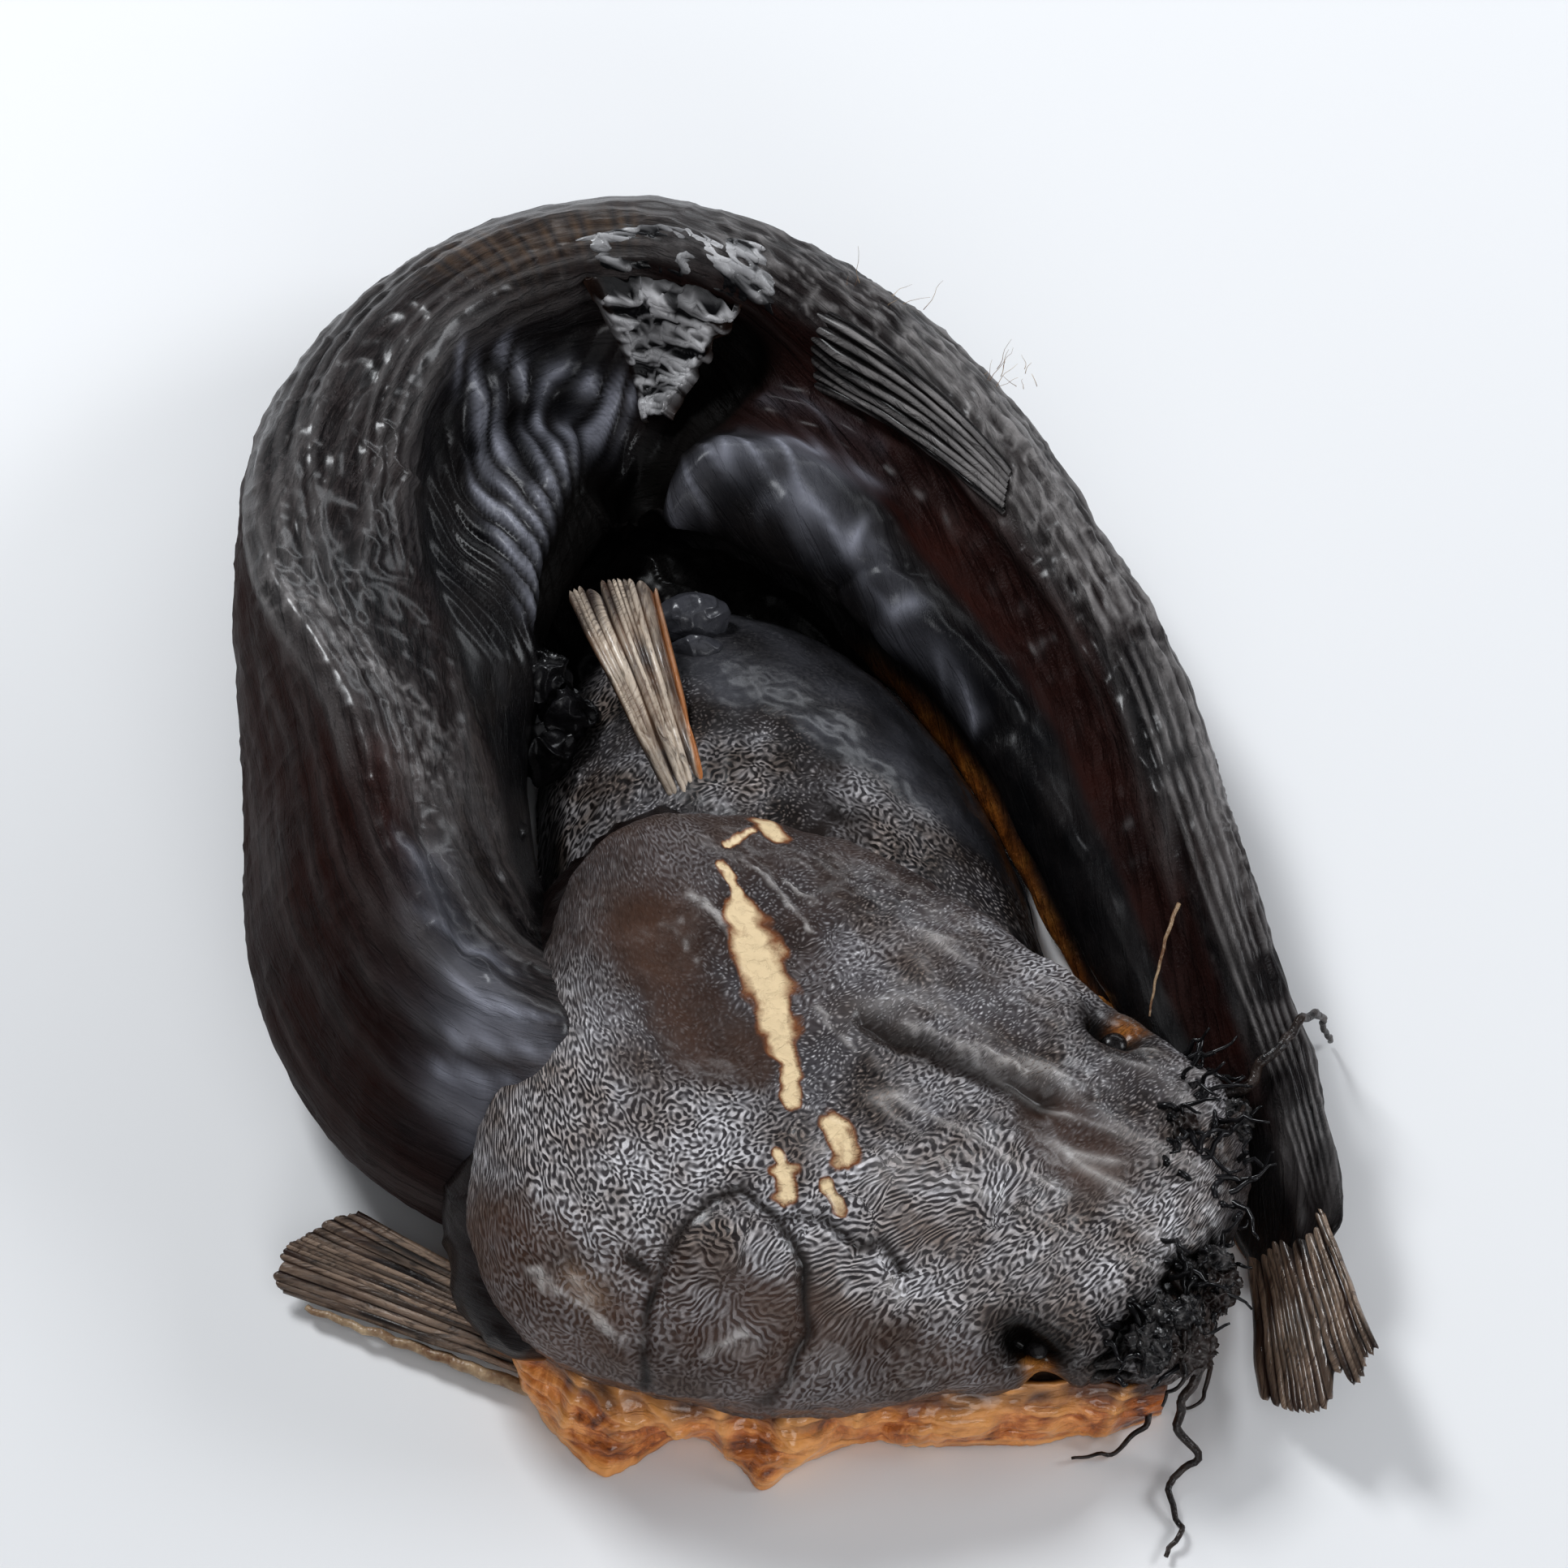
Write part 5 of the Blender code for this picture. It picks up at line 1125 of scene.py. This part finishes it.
def strand(bm, route, thick, thin, steps=30, kink=0.0, seed=0.0):
    """A closed tapering strand on a smooth route, in centimetres, added to the bmesh."""
    spots = smooth(range(len(route)), np.array(route, float), even_steps(np.array(route, float), steps))
    spots = spots + kink * np.stack([crumple(spots, 0.25, seed + k) for k in range(3)], axis=1)
    spots[:, 2] = np.maximum(spots[:, 2], np.linspace(thick, thin, steps) + 0.005)
    along = np.gradient(spots, axis=0)
    ring = bmesh.ops.create_circle(bm, segments=STRAND_SIDES, radius=1)["verts"]
    first = list(ring)
    for step in range(steps):
        if step:
            edges = [bm.edges.get((a, b)) for a, b in zip(ring, ring[1:] + ring[:1])]
            made = bmesh.ops.extrude_edge_only(bm, edges=edges)["geom"]
            new = {vert for vert in made if isinstance(vert, bmesh.types.BMVert)}
            ring = [next(e.other_vert(v) for e in v.link_edges if e.other_vert(v) in new) for v in ring]
        way = Vector(along[step]).normalized()
        across = way.cross(Vector((0.1, 0.2, 1))).normalized()
        over = across.cross(way)
        radius = thick + (thin - thick) * step / (steps - 1)
        for k, vert in enumerate(ring):
            angle = 2 * math.pi * k / STRAND_SIDES
            offset = (across * math.cos(angle) + over * math.sin(angle)) * radius
            vert.co = (Vector(spots[step] + RING_MIDDLE) + offset) * CM
    bm.faces.new(first)
    bm.faces.new(ring)


def strand_piece(name, routes, thick, thin, material, kink=0.0, steps=30, stands_for_cad=False):
    """One piece of one or more strands."""
    bm = bmesh.new()
    for number, route in enumerate(routes):
        strand(bm, route, thick, thin, steps, kink, 3.7 * number)
    bmesh.ops.recalc_face_normals(bm, faces=bm.faces)
    mesh = bpy.data.meshes.new(name)
    bm.to_mesh(mesh)
    bm.free()
    mesh.shade_smooth()
    mesh.materials.append(material)
    piece = bpy.data.objects.new(name, mesh)
    bpy.context.scene.collection.objects.link(piece)
    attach(piece, "root")
    if stands_for_cad:
        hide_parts("smoked_fish")
    return piece


thread_skin = bpy.data.materials.new("thread_skin")
thread_skin.use_nodes = True
thread = thread_skin.node_tree
thread_tint = add_node(thread, "Group", node_tree=smoke_tint)
thread.links.new(add_node(thread, "TexCoord").outputs["Object"], thread_tint.inputs["Place"])
thread_tint.inputs["Dark"].default_value = (0.008, 0.006, 0.006, 1)
thread_tint.inputs["Light"].default_value = (0.045, 0.030, 0.024, 1)
thread_tint.inputs["Patch Scale"].default_value = 250.0
thread.links.new(thread_tint.outputs["Color"], thread.nodes["Principled BSDF"].inputs["Base Color"])
thread.nodes["Principled BSDF"].inputs["Roughness"].default_value = 0.35
thread_bump = add_node(thread, "Bump", {"Height": thread_tint.outputs["Patches"], "Distance": 0.0003})
thread.links.new(thread_bump.outputs["Normal"], thread.nodes["Principled BSDF"].inputs["Normal"])

LONG_BARBELS = {
    "near_long_barbel": [(6.05, -7.30, 2.0), (6.45, -7.85, 1.85), (6.50, -8.60, 1.40), (6.20, -9.15, 0.80),
                         (6.50, -9.55, 0.35), (6.10, -9.95, 0.16), (6.25, -10.6, 0.13), (5.95, -11.0, 0.10)],
    "far_long_barbel": [(6.9, -4.6, 1.3), (7.2, -4.4, 1.62), (7.5, -4.2, 1.92), (7.8, -3.9, 2.14),
                        (8.1, -3.6, 2.20), (8.35, -3.3, 2.14), (8.65, -3.0, 1.55), (8.85, -2.85, 0.85),
                        (9.02, -2.7, 0.14)],
}
for name, route in LONG_BARBELS.items():
    strand_piece(name, [route], 0.10, 0.035, thread_skin, kink=0.09, steps=60, stands_for_cad=True)
SHORT_BARBELS = {
    # name: routes of (behind, out, up) on the head, for the near side
    "nose_barbel": [(0.75, 1.25, 1.85), (0.45, 1.75, 2.00), (0.35, 2.20, 1.75), (0.55, 2.60, 1.30)],
    "chin_barbel": [(0.90, 1.90, 0.45), (0.70, 2.50, 0.40), (1.00, 3.00, 0.18), (1.60, 3.30, 0.10)],
    "jaw_barbel": [(0.60, 0.90, 0.40), (0.10, 1.20, 0.35), (-0.05, 1.70, 0.15), (0.20, 2.10, 0.08)],
}
for name, route in SHORT_BARBELS.items():
    for side, word in ((-1, "near"), (1, "far")):
        places = [tuple(on_head(np.array(b), np.array(side * o), np.array(z))) for b, o, z in route]
        strand_piece(f"{word}_{name}", [places], 0.060, 0.022, thread_skin, kink=0.10, steps=34)



def snout_height(b, share):
    """How high the snout's skin is, this far behind its tip, at a share of its half width."""
    middle, top = np.interp(b, behind, axis), np.interp(b, behind, crown)
    return middle + (top - middle) * (1 - share ** HEAD_SQUARENESS) ** (1 / HEAD_SQUARENESS)


rng = np.random.default_rng(11)
for side, name in ((-1, "near"), (1, "far")):
    shreds = []
    for _ in range(38):
        b, share = rng.uniform(0.05, 1.5), rng.uniform(0.15, 0.97)
        start = np.array([b, side * share * np.interp(b, behind, half_width), snout_height(b, share)])
        drift = rng.normal(0, 0.15, 3) + [-0.08, side * 0.06, 0.06]
        spots = [start - 0.6 * drift, start + drift, start + 1.8 * drift + rng.normal(0, 0.10, 3)]
        shreds.append([tuple(on_head(*np.array(spot))) for spot in spots])
    strand_piece(f"{name}_lip_shreds", shreds, 0.055, 0.018, char_skin, kink=0.14, steps=10)
    for number in range(10 if side < 0 else 3):
        b, share = rng.uniform(0.10, 1.25), rng.uniform(0.25, 0.95)
        o, z = side * share * np.interp(b, behind, half_width), snout_height(b, share) - 0.05
        reach = rng.uniform(0.16, 0.36 if side < 0 else 0.24, 3)
        knot = dome(on_head(*np.array([b, o, z])), reach, rng.uniform(0, 3), 56, 36, -1.5)
        knot_out = knot - on_head(*np.array([b, o, z]))
        knot_out /= np.linalg.norm(knot_out, axis=2, keepdims=True)
        swelling = 0.10 * creases(knot, 0.16, 4.0 + number) + 0.10 * crumple(knot, 0.2, 2.0 + number)
        knot = knot + knot_out * swelling[..., None]
        char_masks = {"pale_crest_and_glint": 0.35 * creases(knot, 0.14, 2.0), "warm": 0.8 * (number % 2)}
        skin_piece(f"{name}_lip_char_{number + 1}", knot, spread(knot), char_masks, char_skin, stands_for_cad=False)

# Breast spine: the hard first ray of the near breast fin, a pale saw-edged bone along its lower edge.
bone = bpy.data.materials.new("fin_bone")
bone.use_nodes = True
bone_tree = bone.node_tree
bone_tint = add_node(bone_tree, "Group", node_tree=smoke_tint)
bone_tree.links.new(add_node(bone_tree, "TexCoord").outputs["Object"], bone_tint.inputs["Place"])
bone_tint.inputs["Dark"].default_value = (0.16, 0.075, 0.035, 1)
bone_tint.inputs["Light"].default_value = (0.52, 0.39, 0.25, 1)
bone_tint.inputs["Patch Scale"].default_value = 180.0
bone_tree.links.new(bone_tint.outputs["Color"], bone_tree.nodes["Principled BSDF"].inputs["Base Color"])
bone_tree.nodes["Principled BSDF"].inputs["Roughness"].default_value = 0.4
bone_bump = add_node(bone_tree, "Bump", {"Height": bone_tint.outputs["Patches"], "Distance": 0.0003})
bone_tree.links.new(bone_bump.outputs["Normal"], bone_tree.nodes["Principled BSDF"].inputs["Normal"])
strand_piece("near_breast_spine", [[(-2.1, -8.88, 0.32), (-3.7, -8.27, 0.30), (-5.2, -7.68, 0.27), (-6.5, -7.17, 0.24)]],
             0.13, 0.05, bone, kink=0.04, steps=40)
strand_piece("side_ray", [[(6.51, -1.54, 2.45), (6.36, -1.95, 2.42), (6.22, -2.40, 2.30), (6.02, -3.20, 1.95)]],
             0.035, 0.015, bone, kink=0.03, steps=24)

# Dry fibres: a fuzz of fine pale threads where the fin rays have frayed on the outer ridge.
fuzz = []
for spot_x, spot_y, spot_z, count, spread_out in ((1.9, 9.35, 3.15, 26, 0.5), (4.2, 8.05, 2.9, 14, 0.35)):
    for _ in range(count):
        start = np.array([spot_x, spot_y, spot_z]) + rng.normal(0, 1, 3) * [spread_out, 0.15, 0.1]
        drift = 0.6 * (np.array([0.16, 0.22, 0.10]) + rng.normal(0, 0.12, 3))
        fuzz.append([tuple(start), tuple(start + drift), tuple(start + 1.9 * drift + rng.normal(0, 0.05, 3))])
strand_piece("dry_fibres", fuzz, 0.006, 0.002, bone, kink=0.08, steps=7)

# Studio: a pale floor under the fish, a broad soft light overhead and behind it, weaker soft ones
# at the front and the sides, and a camera that looks down on the fish as it lies.
floor_bm = bmesh.new()
bmesh.ops.create_grid(floor_bm, x_segments=1, y_segments=1, size=2.0)
floor_mesh = bpy.data.meshes.new("floor")
floor_bm.to_mesh(floor_mesh)
floor_bm.free()
floor = bpy.data.objects.new("floor", floor_mesh)
bpy.context.scene.collection.objects.link(floor)
floor_paint = bpy.data.materials.new("floor_paint")
floor_paint.use_nodes = True
paint = floor_paint.node_tree
mottle = add_node(paint, "TexNoise", {"Vector": add_node(paint, "TexCoord").outputs["Object"], "Scale": 3.0})
pale = blended(paint, mottle.outputs["Fac"], (0.84, 0.84, 0.85, 1), (0.89, 0.89, 0.89, 1))
paint.links.new(pale, paint.nodes["Principled BSDF"].inputs["Base Color"])
paint.nodes["Principled BSDF"].inputs["Roughness"].default_value = 0.6
floor_mesh.materials.append(floor_paint)


def soft_light(name, width, height, power, colour, place, aim):
    """A soft studio light: a glowing panel that faces the point it is aimed at."""
    panel = bpy.data.lights.new(name, "AREA")
    panel.shape = "RECTANGLE"
    panel.size, panel.size_y = width, height
    panel.energy = power
    panel.color = colour
    lamp = bpy.data.objects.new(name, panel)
    bpy.context.scene.collection.objects.link(lamp)
    lamp.location = place
    lamp.rotation_euler = (Vector(aim) - Vector(place)).to_track_quat("-Z", "Y").to_euler()


soft_light("overhead_light", 1.4, 1.0, 2.8, (0.96, 0.98, 1.0), (0.15, -0.60, 1.15), (0, 0, 0.02))
soft_light("key_light", 0.30, 0.30, 7.0, (0.94, 0.97, 1.0), (-0.50, 0.60, 0.85), (0, 0, 0.02))
soft_light("side_light", 0.45, 0.30, 3.6, (0.93, 0.96, 1.0), (0.92, 0.12, 0.62), (0, 0, 0.02))
soft_light("front_light", 0.6, 0.25, 1.9, (0.97, 0.98, 1.0), (0.15, -0.95, 0.42), (0, -0.04, 0.02))
soft_light("back_light", 0.9, 0.15, 1.8, (0.92, 0.96, 1.0), (0.35, 0.85, 0.35), (0, 0, 0.02))

room = bpy.data.worlds.new("room")
bpy.context.scene.world = room
room.use_nodes = True
room.node_tree.nodes["Background"].inputs["Color"].default_value = (0.90, 0.93, 1.0, 1)
room.node_tree.nodes["Background"].inputs["Strength"].default_value = 0.10

CAMERA_TILT = math.radians(58)
CAMERA_LENS = 85
SENSOR_WIDTH = 36
FRAME_FILL = 0.92
fish_middle = Vector((0, 0, 0.5 * (cad_low.z + cad_high.z)))
from_fish = Vector((0, -math.cos(CAMERA_TILT), math.sin(CAMERA_TILT)))
seen_depth = (cad_high.y - cad_low.y) * math.sin(CAMERA_TILT) + (cad_high.z - cad_low.z) * math.cos(CAMERA_TILT)
camera = bpy.data.objects.new("camera", bpy.data.cameras.new("camera"))
bpy.context.scene.collection.objects.link(camera)
camera.data.lens = CAMERA_LENS
camera.data.sensor_width = SENSOR_WIDTH
camera.location = fish_middle + from_fish * seen_depth / FRAME_FILL * CAMERA_LENS / SENSOR_WIDTH
camera.rotation_mode = "QUATERNION"
camera.rotation_quaternion = (-from_fish).to_track_quat("-Z", "Y")
bpy.context.scene.camera = camera
bpy.context.scene.view_settings.view_transform = "Standard"
bpy.context.scene.view_settings.look = "Medium High Contrast"
